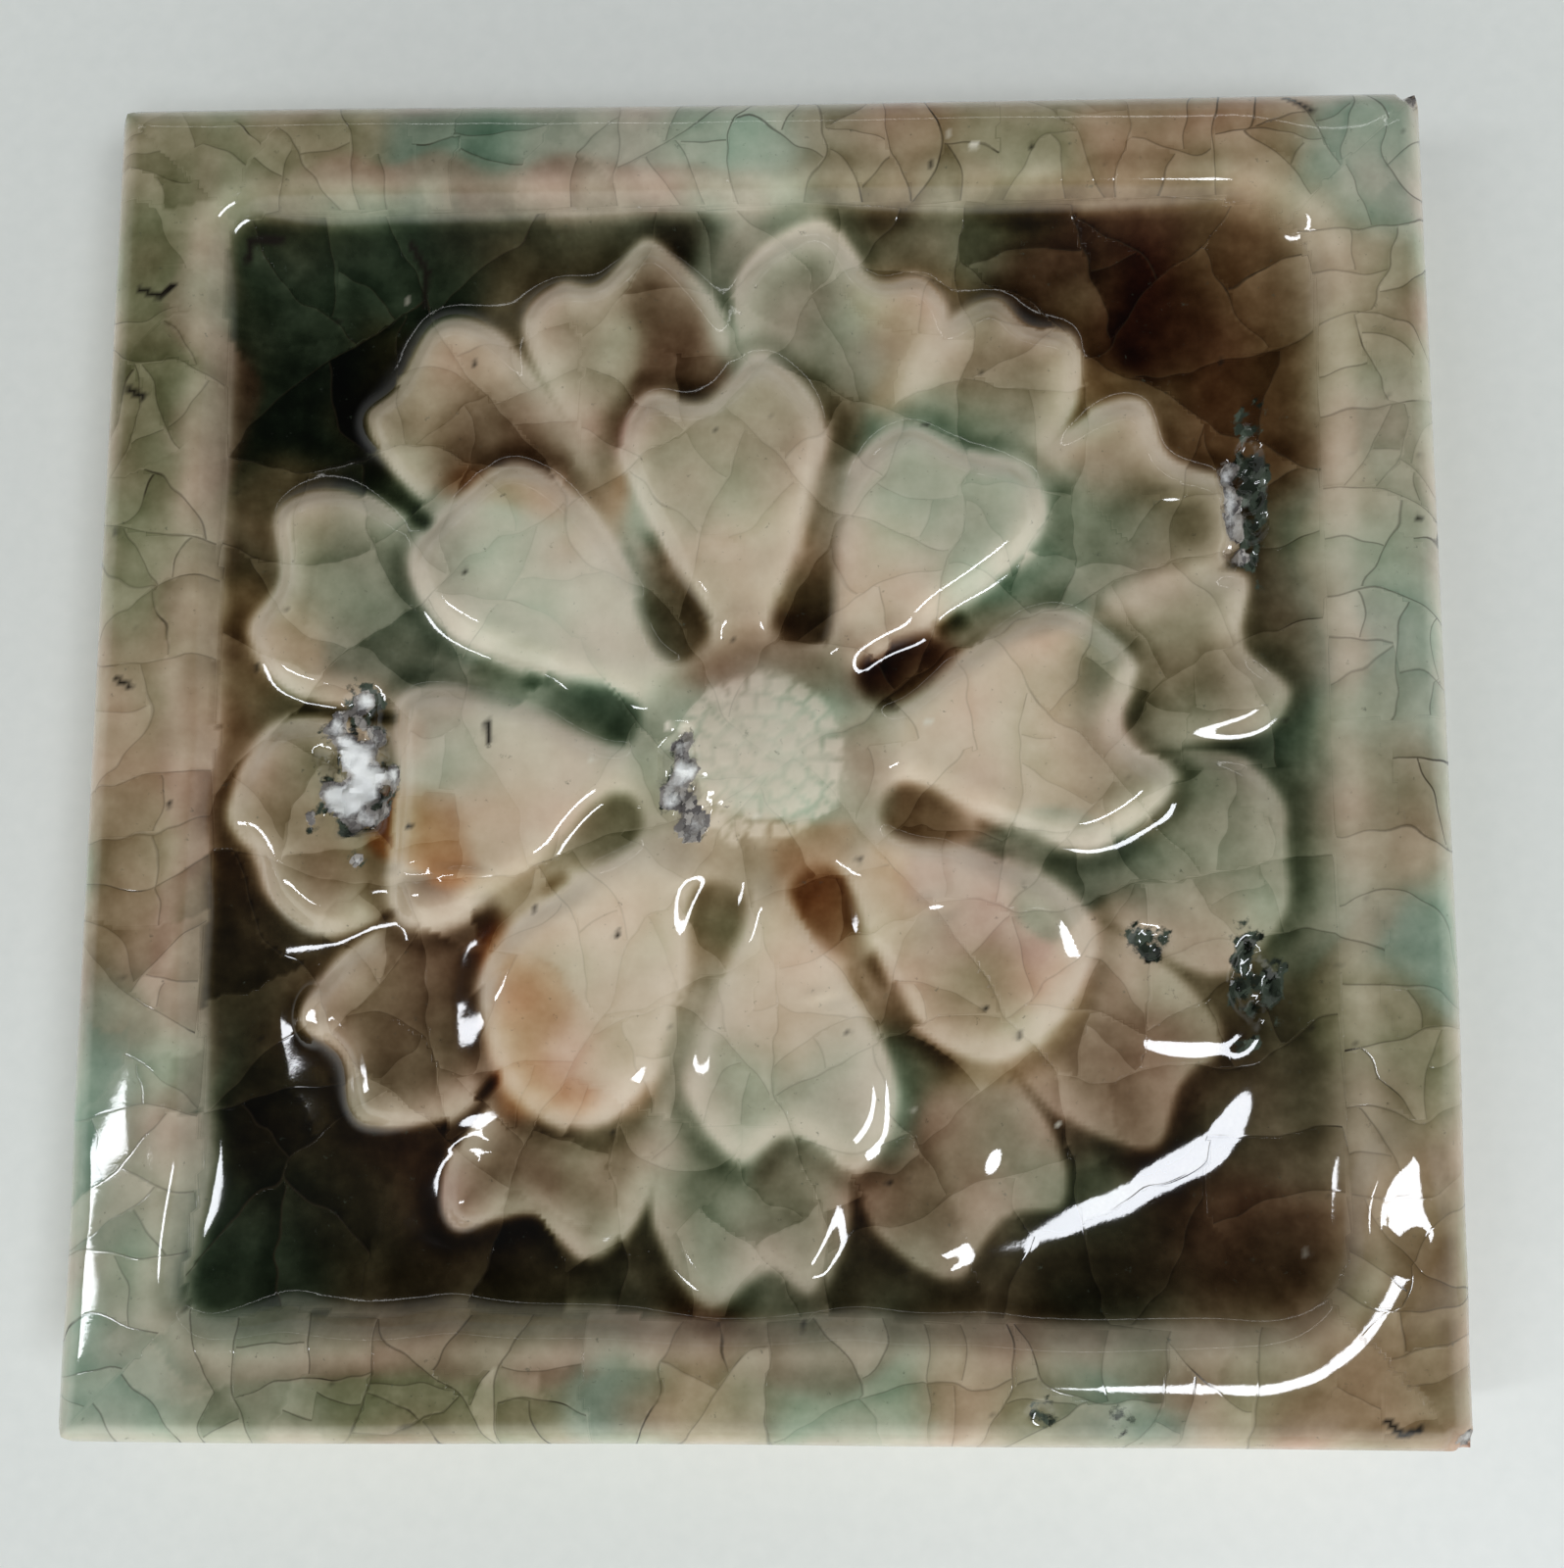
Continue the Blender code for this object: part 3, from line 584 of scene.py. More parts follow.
def craze(face):
    """The craze cracks. Each piece of glaze parts across its middle, at right angles to its longest way,
    and so do its halves, until the pieces are small, so cracks meet in T-shapes as real ones do. At each
    round every piece has a gently bent line, and the distance to it, negative on one side, is kept: its
    zero is the crack. Gives those distances, and for each piece a tone, a sideways shift and a tilt."""
    draw = np.random.default_rng(CRAZE_SEED)
    shape = face.x.shape
    (wide, far_apart), (close, near_by) = CRAZE_WAVES
    x = (face.x + wide * face.ripple(far_apart, 52) + close * face.ripple(near_by, 53)).ravel()
    y = (face.y + wide * face.ripple(far_apart, 54) + close * face.ripple(near_by, 55)).ravel()
    on_bar = (face.pool < 0.0).ravel()
    size = np.where(on_bar, BAR_CRAZE, mix(PETAL_CRAZE, POOL_CRAZE, face.open_panel.ravel()))
    side = np.where(np.abs(face.x) > np.abs(face.y), 1 + (face.x > 0), 3 + (face.y > 0)).ravel()
    piece = np.where(on_bar, side, 0)
    distances = []
    for _ in range(CRAZE_ROUNDS):
        piece, count, from_x, from_y = from_middles(piece, x, y)
        xx, yy, xy = (np.bincount(piece, v) / count for v in (from_x**2, from_y**2, from_x * from_y))
        length = np.sqrt(6.0 * (xx + yy + np.hypot(xx - yy, 2.0 * xy)))
        goal = np.bincount(piece, size) / count * draw.uniform(*CRAZE_SPREAD, len(count))
        way = 0.5 * np.arctan2(2.0 * xy, xx - yy) + draw.normal(0.0, CRAZE_SKEW, len(count))
        offset = draw.uniform(-CRAZE_OFFSET, CRAZE_OFFSET, len(count)) * length
        bend = draw.normal(0.0, CRAZE_BEND, len(count)) / length
        drawn = draw.random(len(count)) < CRAZE_SHOWN
        across = from_x * np.cos(way)[piece] + from_y * np.sin(way)[piece]
        along = from_y * np.cos(way)[piece] - from_x * np.sin(way)[piece]
        distance = across - offset[piece] + bend[piece] * along**2
        parts = (length > goal)[piece]
        distances.append(np.where(parts & drawn[piece], distance, FAR).reshape(shape))
        piece = 2 * piece + (parts & (distance > 0.0))
    piece, count, from_x, from_y = from_middles(piece, x, y)
    tone, shift_x, shift_y, lean_x, lean_y = np.clip(draw.normal(0.0, 1.0, (5, len(count))), -2.0, 2.0)
    tilt = lean_x[piece] * from_x + lean_y[piece] * from_y
    return distances, [v.reshape(shape) for v in (tone[piece], shift_x[piece], shift_y[piece], tilt)]


def glaze_surface(face, tilt):
    """Height of the glaze's surface: the frame and panel, and on them the rosette. Every form is an
    S-shaped wall on its distance, and forms meet in fillets. The glaze fills corners, so the surface is
    nowhere lower than the same relief with its forms blurred wide. In the heaps it is a still wider blur,
    with low steps where glaze has run. Each craze piece lies at its own slight tilt, and chips and small
    flats are cut last."""
    rounding = 1.0 - np.clip(face.edge / EDGE_ROUND, 0.0, 1.0)
    knee = mix(KNEE_INSET_TOP, KNEE_INSET_BOTTOM, smooth_step(-face.y, 13.0, 27.0))
    slope = mix(BAR_SLOPE_LEFT, BAR_SLOPE_RIGHT, smooth_step(face.x, -30.0, 0.0))
    widest = hump(face.y, WIDE_KNEE_Y, WIDE_KNEE_REACH) * (face.x > 0.0)
    wide = KNEE_BLEND + KNEE_BLEND_WIDE * widest
    inset = np.maximum(FRAME_BAR + face.panel, 0.5 * face.edge)
    fall = smooth_max(slope * (knee - inset), 0.0, wide)
    sag = BAR_SAG * smooth_step(face.x, 8.0, 26.0) * smooth_step(-face.y, 28.0, 34.0)
    share = np.clip((STRIP_ENDS[0] - face.y) / (STRIP_ENDS[0] - STRIP_ENDS[1]), 0.0, 1.0)
    half = STRIP_HALF_WIDTH * np.sin(np.pi * share)
    strip = np.clip(mix(*STRIP_INSETS, share) + half - face.edge, 0.0, 2.0 * half)
    strip = STRIP_SLOPE * strip * (face.x < 0.0)
    crest = PANEL_LEVEL + FRAME_RISE - EDGE_DROP * rounding**2 - fall - sag - strip
    heap = np.zeros(face.x.shape)
    for middle, half_size, share in HEAPS:
        away = from_oval(face, middle, half_size)
        heap = np.maximum(heap, share - share * smooth_step(away, 0.7, 1.25))
    pool = PANEL_LEVEL + POOL_RISE_RIGHT * smooth_step(face.x, 8.0, PANEL_HALF_WIDTH) + HEAP_RISE * heap
    off_corner = smooth_step(HALF_HEIGHT - np.abs(face.y), 12.0, 20.0)
    at_right = smooth_step(face.x, 20.0, PANEL_HALF_WIDTH) * off_corner
    wall_run = mix(WALL_RUN_LEFT, WALL_RUN_RIGHT, at_right)
    wall = face.pool + WALL_SHIFT_RIGHT * at_right
    ground = mix(crest, pool, smooth_step(wall, -0.5 * wall_run, 0.5 * wall_run))

    tuck = OUTER_TUCK * (1.0 - smooth_step(face.reach, *TUCK_REACHES))
    forms = []
    for depth in face.outer:
        dish = OUTER_DISH * smooth_step(depth, PETAL_RIM, PETAL_RIM + DISH_RUN)
        forms.append(raised(depth, OUTER_RISE - tuck - dish, OUTER_WALL_RUN))
    for depth in face.inner:
        dish = INNER_DISH * smooth_step(depth, PETAL_RIM, PETAL_RIM + DISH_RUN)
        forms.append(raised(depth, INNER_RISE - dish, INNER_WALL_RUN))
    forms.append(raised(PLATE_RADIUS - face.distance, INNER_RISE - INNER_DISH, INNER_WALL_RUN))
    rosette = np.full(face.x.shape, SUNK_LEVEL)
    for form in forms:
        rosette = np.where(form > SUNK_LEVEL, smooth_max(rosette, form, PETAL_BLEND), rosette)
    for inside, along in hollows(face):
        wall = smooth_step(-inside, -0.5 * HOLLOW_WALL_RUN, 0.5 * HOLLOW_WALL_RUN)
        wall = np.maximum(wall, 0.85 * smooth_step(along, 0.15, 0.55))
        floor = HOLLOW_RISE + (INNER_RISE + PETAL_BLEND - HOLLOW_RISE) * wall
        rosette = -smooth_max(-rosette, -floor, PETAL_BLEND)
    rosette += folds(face) * (rosette > 0.0)
    button = BUTTON_RISE - BUTTON_FALL * (face.distance / BUTTON_RADIUS) ** 2
    rosette = mix(rosette, COLLAR_RISE, smooth_step(BUTTON_RADIUS + COLLAR_WIDTH - face.distance, -1.0, 0.6))
    rosette = smooth_max(rosette, button, PETAL_BLEND)
    relief = smooth_max(ground, PANEL_LEVEL + rosette, PETAL_BLEND)

    inland = smooth_step(face.edge, 0.6, 2.4)
    close = blurred(relief, CLOSE_BLUR, face.spacing)
    pooled = smooth_max(close, blurred(relief, POOL_BLUR, face.spacing) - POOL_SINK, POOL_BLEND)
    swept = blurred(relief, HEAP_BLUR, face.spacing)
    for rise, wall_width, outline in GLAZE_RUNS:
        inside = depth_inside(face.x, face.y, closed_curve(outline))
        swept = swept + rise * (smooth_step(inside, -0.5 * wall_width, 0.5 * wall_width) - 0.7)
    pooled = mix(pooled, swept, heap)
    soft = mix(relief, pooled, inland)
    calm = mix(0.3, 1.0, smooth_step(face.panel, -2.0, 1.0))
    waves = WIDE_WAVES[1] * face.ripple(WIDE_WAVES[0], 11) + CLOSE_WAVES[1] * face.ripple(CLOSE_WAVES[0], 12)
    soft += inland * calm * (waves + PIECE_TILT * tilt)
    soft += BEAD_RISE * (beads(face) - 0.5) * smooth_step(BEAD_FIELD - face.distance, -0.3, 0.9)
    uneven = 0.16 * face.ripple(1.3, 21)
    ragged = 1.0 + 0.30 * face.ripple(0.8, 22)
    for middle, half_size, depth, *_ in CHIPS:
        away = from_oval(face, middle, half_size) + uneven
        soft -= depth * smooth_step(1.05 - away, 0.0, 0.35) * ragged
    for middle, half_size, downhill, slope in FLATS:
        away = from_oval(face, middle, half_size)
        way = math.radians(downhill)
        fall = slope * ((face.x - middle[0]) * math.cos(way) + (face.y - middle[1]) * math.sin(way))
        level = soft.flat[np.argmin(away)]
        soft = mix(soft, level - fall, 1.0 - smooth_step(away, 0.4, 1.4))
    return np.minimum(soft, TOP_LEVEL - 0.02)


def glaze_depth(face, edge):
    """Depth of glaze over the clay. Each form is laid over what is under it, thin at its rim and deeper in
    its dish, and just outside a form the glaze is deeper, where it has run down and gathered, and there
    shade at the foot of its wall is painted in as well. The panel is deep out to its pool's scalloped border."""
    left_wall = smooth_step(face.pool, -0.2, 0.9)
    right_wall = smooth_step(face.panel, -0.7, 2.2)
    wall = mix(left_wall, right_wall, smooth_step(face.x, 15.0, PANEL_HALF_WIDTH))
    bar = mix(FRAME_GLAZE, CREST_GLAZE, hump(face.panel, CREST_MIDDLE, CREST_REACH))
    bar = mix(ARRIS_GLAZE, bar, smooth_step(edge, 0.1, 1.7))
    depth = mix(bar, PANEL_GLAZE, wall)

    tuck = 1.0 - smooth_step(face.reach, 17.0, 25.0)
    rim = mix(OUTER_RIM_GLAZE, OUTER_RIM_DEEP, smooth_step(face.x - face.y, 14.0, 34.0))
    # A darker ring round the outer petals: deeper gathered glaze and painted shade at their feet
    depth = depth + MOAT_GLAZE_AND_SHADE * glaze_and_shade_ring(face.outer)
    for inside in face.outer:
        dish = smooth_step(inside, 0.6, 3.0)
        top = mix(rim, OUTER_DISH_GLAZE, dish) + OUTER_TUCK_GLAZE * tuck
        depth = mix(depth, top, smooth_step(inside, -0.35, 0.40))
    depth = depth - 0.35 * np.maximum(folds(face), 0.0) + 1.2 * np.maximum(-folds(face), 0.0)
    depth = np.maximum(depth, OUTER_RIM_GLAZE * 0.8)
    # The same darker ring round the inner petals: deeper gathered glaze and painted shade
    depth = depth + MOAT_GLAZE_AND_SHADE * glaze_and_shade_ring(face.inner)
    for inside in (PLATE_RADIUS - face.distance, *face.inner):
        dish = INNER_DISH_GLAZE + INNER_TIP_GLAZE * smooth_step(face.reach, 12.0, 19.0)
        top = mix(INNER_RIM_GLAZE, dish, smooth_step(inside, 0.6, 2.6))
        depth = mix(depth, top, smooth_step(inside, -0.35, 0.45))
    for inside, along in hollows(face):
        filled = mix(HOLLOW_GLAZE, CHANNEL_GLAZE, smooth_step(along, 0.10, 0.50))
        soft = mix(0.5, 0.9, along)
        depth = mix(depth, filled, smooth_step(inside, -soft, soft) * (1.0 - smooth_step(along, 0.8, 1.0)))
    depth = mix(COLLAR_GLAZE, depth, smooth_step(face.distance, BUTTON_RADIUS + 0.4, BUTTON_RADIUS + 2.6))
    beaded = smooth_step(BEAD_FIELD - face.distance, -0.3, 0.4)
    outermost = smooth_step(face.distance, 2.6, 4.0)
    return mix(depth, BUTTON_GLAZE + (1.0 - beads(face)) * mix(0.17, 0.38, outermost), beaded)


def glaze_and_shade_ring(forms):
    """A ring about each form, a millimetre or so wide, from 0 to 1: deeper gathered glaze and painted shade
    at the forms' feet.
    """
    outside = -np.max(forms, 0)
    return hump(outside, MOAT_MIDDLE, MOAT_REACH) * (outside > -0.3)


def glaze_tint(face):
    """The tint of a millimetre of glaze, and how heavily it lies, at each place: a mean of the dabs there,
    each weighing most in its own squarish patch."""
    x = face.x + DAB_WAVER * face.ripple(DAB_WAVES, 41)
    y = face.y + DAB_WAVER * face.ripple(DAB_WAVES, 42)
    weight = np.full(face.x.shape, 1.0e-6)
    tint = weight[..., None] * linear(GLAZES["olive"][0])[:3]
    load = weight * 1.0
    for code, dabs in GLAZES.values():
        for dab_x, dab_y, half_width, half_height, heaviness in dabs:
            away = np.abs((x - dab_x) / half_width) ** 3 + np.abs((y - dab_y) / half_height) ** 3
            share = np.exp(-0.8 * np.minimum(away, 60.0))
            weight += share
            tint += share[..., None] * linear(code)[:3]
            load += share * heaviness
    return tint / weight[..., None], load / weight


def chips(face):
    """How bare each place is, how white, and how dark with shards, with ragged outlines: the bare body
    fills a chip, its white heart fades outwards, and the shards ring it."""
    bare, heart, shards = (np.zeros(face.x.shape) for _ in range(3))
    uneven = 0.30 * face.ripple(1.5, 24)
    ragged = 0.6 + 0.5 * face.ripple(0.9, 23)
    for middle, half_size, _, bare_share, white_share, dark_share in CHIPS:
        away = from_oval(face, middle, half_size) + uneven
        bare = np.maximum(bare, bare_share * smooth_step(1.0 - away, 0.0, 0.20))
        heart = np.maximum(heart, white_share * smooth_step(0.90 - away, 0.0, 0.60))
        ring = smooth_step(1.25 - away, 0.0, 0.30) * (1.0 - bare_share * smooth_step(0.95 - away, 0.0, 0.35))
        shards = np.maximum(shards, dark_share * ring * ragged)
    return bare, heart, np.clip(shards, 0.0, 1.0)


def dirt(face):
    """Dark marks: strokes along old cracks, pinholes, and fine specks scattered at random."""
    draw = np.random.default_rng(61)
    places = draw.uniform(-SPECK_REACH, SPECK_REACH, (2, SPECK_COUNT))
    scattered = zip(*places, draw.uniform(*SPECK_RADII, SPECK_COUNT))
    marks = dots(face, (*SPECKS, *scattered))
    for start, end, half_width in DIRTY_CRACKS:
        distance, _ = segment_distance(face.x, face.y, start, end)
        marks = np.maximum(marks, 1.0 - smooth_step(distance, half_width, half_width + DOT_BLUR))
    return marks


def dots(face, places):
    """One inside each round dot, which is fainter the smaller it is, and zero outside them."""
    marks = np.zeros(face.x.shape)
    for x, y, radius in places:
        distance = np.hypot(face.x - x, face.y - y)
        dot = 1.0 - smooth_step(distance, radius, radius + DOT_BLUR)
        marks = np.maximum(marks, dot * min(1.0, 9.0 * radius))
    return marks


def linear(code):
    """A hex sRGB colour as linear red, green, blue and alpha."""
    levels = [int(code[i:i + 2], 16) / 255.0 for i in (1, 3, 5)]
    return np.array([v / 12.92 if v <= 0.04045 else ((v + 0.055) / 1.055) ** 2.4 for v in levels] + [1.0])


def face_places(cells):
    """A square grid whose rings take the tile's outline: each ring is a square whose corners are arcs, with a
    radius that grows from none inside to the tile's own at the edge."""
    half = HALF_WIDTH - EDGE_INSET
    line = np.linspace(-half, half, cells + 1)
    across, up = np.meshgrid(line, line)
    ring = np.maximum(np.abs(across), np.abs(up))
    side = np.minimum(np.abs(across), np.abs(up))
    radius = np.maximum(CORNER_RADIUS * smooth_step(ring, half - CORNER_REACH, half), 1.0e-6)
    turn = np.clip((side - (ring - radius)) / radius, 0.0, 1.0) * math.pi / 4.0
    in_corner = side > ring - radius
    long = np.where(in_corner, ring - radius + radius * np.cos(turn), ring)
    short = np.where(in_corner, ring - radius + radius * np.sin(turn), side)
    wide = np.abs(across) >= np.abs(up)
    x = np.where(wide, long, short) * np.sign(across)
    y = np.where(wide, short, long) * np.sign(up)
    return x, y * (HALF_HEIGHT - EDGE_INSET) / half


def side_rings(rim):
    """Rings of points below the face's border: the glaze runs down the sides and stops in a rolled,
    wavering lip over the bare clay, which ends in a small chamfer at the back."""
    walk = np.arange(len(rim)) * 2.0 * math.pi / len(rim)
    waver = 0.45 * np.sin(7.0 * walk + 1.0) + 0.35 * np.sin(16.0 * walk + 2.0) + 0.20 * np.sin(37.0 * walk)
    for share, waver_share, inset in SIDE_PROFILE:
        ring = rim.copy()
        ring[:, 0] *= 1.0 - inset / HALF_WIDTH
        ring[:, 1] *= 1.0 - inset / HALF_HEIGHT
        ring[:, 2] *= share + waver_share * waver
        yield ring


def add_tile():
    """The glazed tile as one closed mesh: the face is a grid of heights, the sides are rings below its
    border, and the back is a plane with keying grooves sunk in it."""
    x, y = face_places(FACE_CELLS)
    spacing = 2.0 * HALF_WIDTH / FACE_CELLS
    face = Face(x, y, spacing)
    cracks, (tone, shift_x, shift_y, tilt) = craze(face)
    nearest = np.max([*face.outer, *face.inner, PLATE_RADIUS - face.distance], 0)
    on_petal = 1.0 - smooth_step(-nearest, 0.0, 1.5)
    shift = mix(PIECE_SHIFT * mix(0.3, 1.0, face.lower_left), PIECE_SHIFT_PETAL, on_petal)
    seen = Face(x + shift * shift_x, y + shift * shift_y, spacing)
    tint, load = glaze_tint(seen)
    depth = glaze_depth(seen, face.edge) * load
    tone_share = mix(PIECE_TONE, PIECE_TONE_PETAL, np.max(face.inner, 0) > 0.0)
    tone_share = tone_share * mix(0.6, 1.0, face.lower_left)
    depth *= np.clip(1.0 + tone_share * tone + 0.08 * face.ripple(5.0, 31), 0.5, 1.6)
    waver = TINT_WAVER * face.ripple(4.5, 43) / np.maximum(depth, 0.4)
    tint *= 1.0 + waver[..., None] * TINT_SWING
    strokes = smooth_step(face.ripple(2.6, 56), 1.1, 2.3) * mix(0.5, 0.15, on_petal)
    shown = mix(0.32, 0.06, on_petal) + mix(0.12, 0.07, on_petal) * face.ripple(9.0, 57) + strokes
    bare, heart, shards = chips(face)
    marks = np.stack([bare, dirt(face), np.clip(shown, 0.0, 1.0)], -1)
    flakes = np.stack([heart, shards, dots(face, BUBBLES)], -1)

    size = FACE_CELLS + 1
    index = np.arange(size * size).reshape(size, size)
    border = np.concatenate([index[0, :-1], index[:-1, -1], index[-1, :0:-1], index[:0:-1, 0]])
    top = np.stack([x, y, glaze_surface(face, tilt)], -1).reshape(-1, 3)
    points = np.concatenate([top, *side_rings(top[border])])
    walk = np.arange(len(border))
    turn = walk * 2.0 * math.pi / len(border)
    lean = SIDE_LEAN * (np.sin(13.0 * turn) + np.sin(31.0 * turn))
    rows = [np.round(walk + k * lean).astype(int) % len(border) for k in range(1, len(SIDE_PROFILE) + 1)]
    sources = np.concatenate([index.ravel()] + [border[row] for row in rows])

    quads = np.stack([index[:-1, :-1], index[:-1, 1:], index[1:, 1:], index[1:, :-1]], -1).reshape(-1, 4)
    rings = [border] + [size * size + k * len(border) + walk for k in range(len(SIDE_PROFILE))]
    skirts = [np.stack([a, b, np.roll(b, -1), np.roll(a, -1)], -1) for a, b in zip(rings, rings[1:])]
    mesh = bpy.data.meshes.new("glazed tile")
    mesh.from_pydata((points * MM).tolist(), [], np.concatenate([quads, *skirts]).tolist())
    clay = np.zeros(len(mesh.polygons), int)
    clay[len(quads) + GLAZED_RINGS * len(border):] = 1
    mesh.polygons.foreach_set("material_index", clay)

    put(mesh, "glaze_depth", depth.reshape(-1, 1)[sources])
    put(mesh, "glaze_tint", tint.reshape(-1, 3)[sources])
    marks = marks.reshape(-1, 3)[sources]
    for k in range(len(SIDE_PROFILE)):
        ring = size * size + k * len(border)
        marks[ring:ring + len(border)] *= np.power(SIDE_FADES, k + 1)
    put(mesh, "marks", marks)
    put(mesh, "flakes", flakes.reshape(-1, 3)[sources])
    for k in range(0, CRAZE_ROUNDS, 3):
        triple = np.stack(cracks[k:k + 3], -1).reshape(-1, 3)
        put(mesh, f"cracks_{k // 3}", triple[sources])
    close_back(mesh, rings[-1])
    mesh.shade_smooth()
    mesh.set_sharp_from_angle(angle=math.radians(SHARP_ANGLE))
    tile = bpy.data.objects.new("relief_tile", mesh)
    bpy.context.scene.collection.objects.link(tile)
    return tile


def put(mesh, name, rows):
    """Puts a value or a triple for each point on the mesh."""
    kind, field = ("FLOAT", "value") if rows.shape[1] == 1 else ("FLOAT_VECTOR", "vector")
    mesh.attributes.new(name, kind, "POINT").data.foreach_set(field, np.ascontiguousarray(rows.ravel()))


def close_back(mesh, loop):
    """Fills the last ring with a flat back round upright keying grooves, and gives each groove a floor."""
    first = -HALF_WIDTH + GROOVE_MARGIN + GROOVE_WIDTH / 2
    pitch = -2.0 * first / (GROOVE_COUNT - 1)
    end = HALF_HEIGHT - GROOVE_MARGIN
    bm = bmesh.new()
    bm.from_mesh(mesh)
    bm.verts.ensure_lookup_table()
    ring = [bm.verts[i] for i in loop]
    outlines = [bm.edges.get(pair) for pair in zip(ring, ring[1:] + ring[:1])]
    for k in range(GROOVE_COUNT):
        middle = first + k * pitch
        corners = ((-1, -1), (1, -1), (1, 1), (-1, 1))
        mouth = [bm.verts.new(((middle + i * GROOVE_WIDTH / 2) * MM, j * end * MM, 0.0)) for i, j in corners]
        floor = [bm.verts.new((v.co.x, v.co.y, GROOVE_DEPTH * MM)) for v in mouth]
        for i in range(4):
            n = (i + 1) % 4
            bm.faces.new((mouth[i], mouth[n], floor[n], floor[i])).material_index = 1
            outlines.append(bm.edges.get((mouth[i], mouth[n])))
        bm.faces.new(floor).material_index = 1
    filled = bmesh.ops.triangle_fill(bm, use_beauty=True, edges=outlines, normal=(0.0, 0.0, -1.0))
    for item in filled["geom"]:
        if isinstance(item, bmesh.types.BMFace):
            item.material_index = 1
    bmesh.ops.recalc_face_normals(bm, faces=bm.faces)
    bm.to_mesh(mesh)
    bm.free()


# Settings that several nodes share: a Mix node that mixes colours, and a MapRange node with an even S
COLOURS = {"out": 2, "data_type": "RGBA"}
SMOOTH = {"interpolation_type": "SMOOTHSTEP"}


def node(tree, kind, inputs, out=0, **settings):
    """Adds a node, sets its properties, links or sets its inputs by place or name, and gives one output."""
    item = tree.nodes.new("ShaderNode" + kind)
    for name, value in settings.items():
        setattr(item, name, value)
    for place, value in inputs.items():
        if isinstance(value, bpy.types.NodeSocket):
            tree.links.new(value, item.inputs[place])
        else:
            item.inputs[place].default_value = value
    return item.outputs[out]


def new_material(name, **values):
    """A node material with a Principled shader, and uniform values set on its own sockets."""
    material = bpy.data.materials.new(name)
    material.use_nodes = True
    shader = material.node_tree.nodes["Principled BSDF"]
    for socket, value in values.items():
        shader.inputs[socket].default_value = value
    return material, material.node_tree, shader


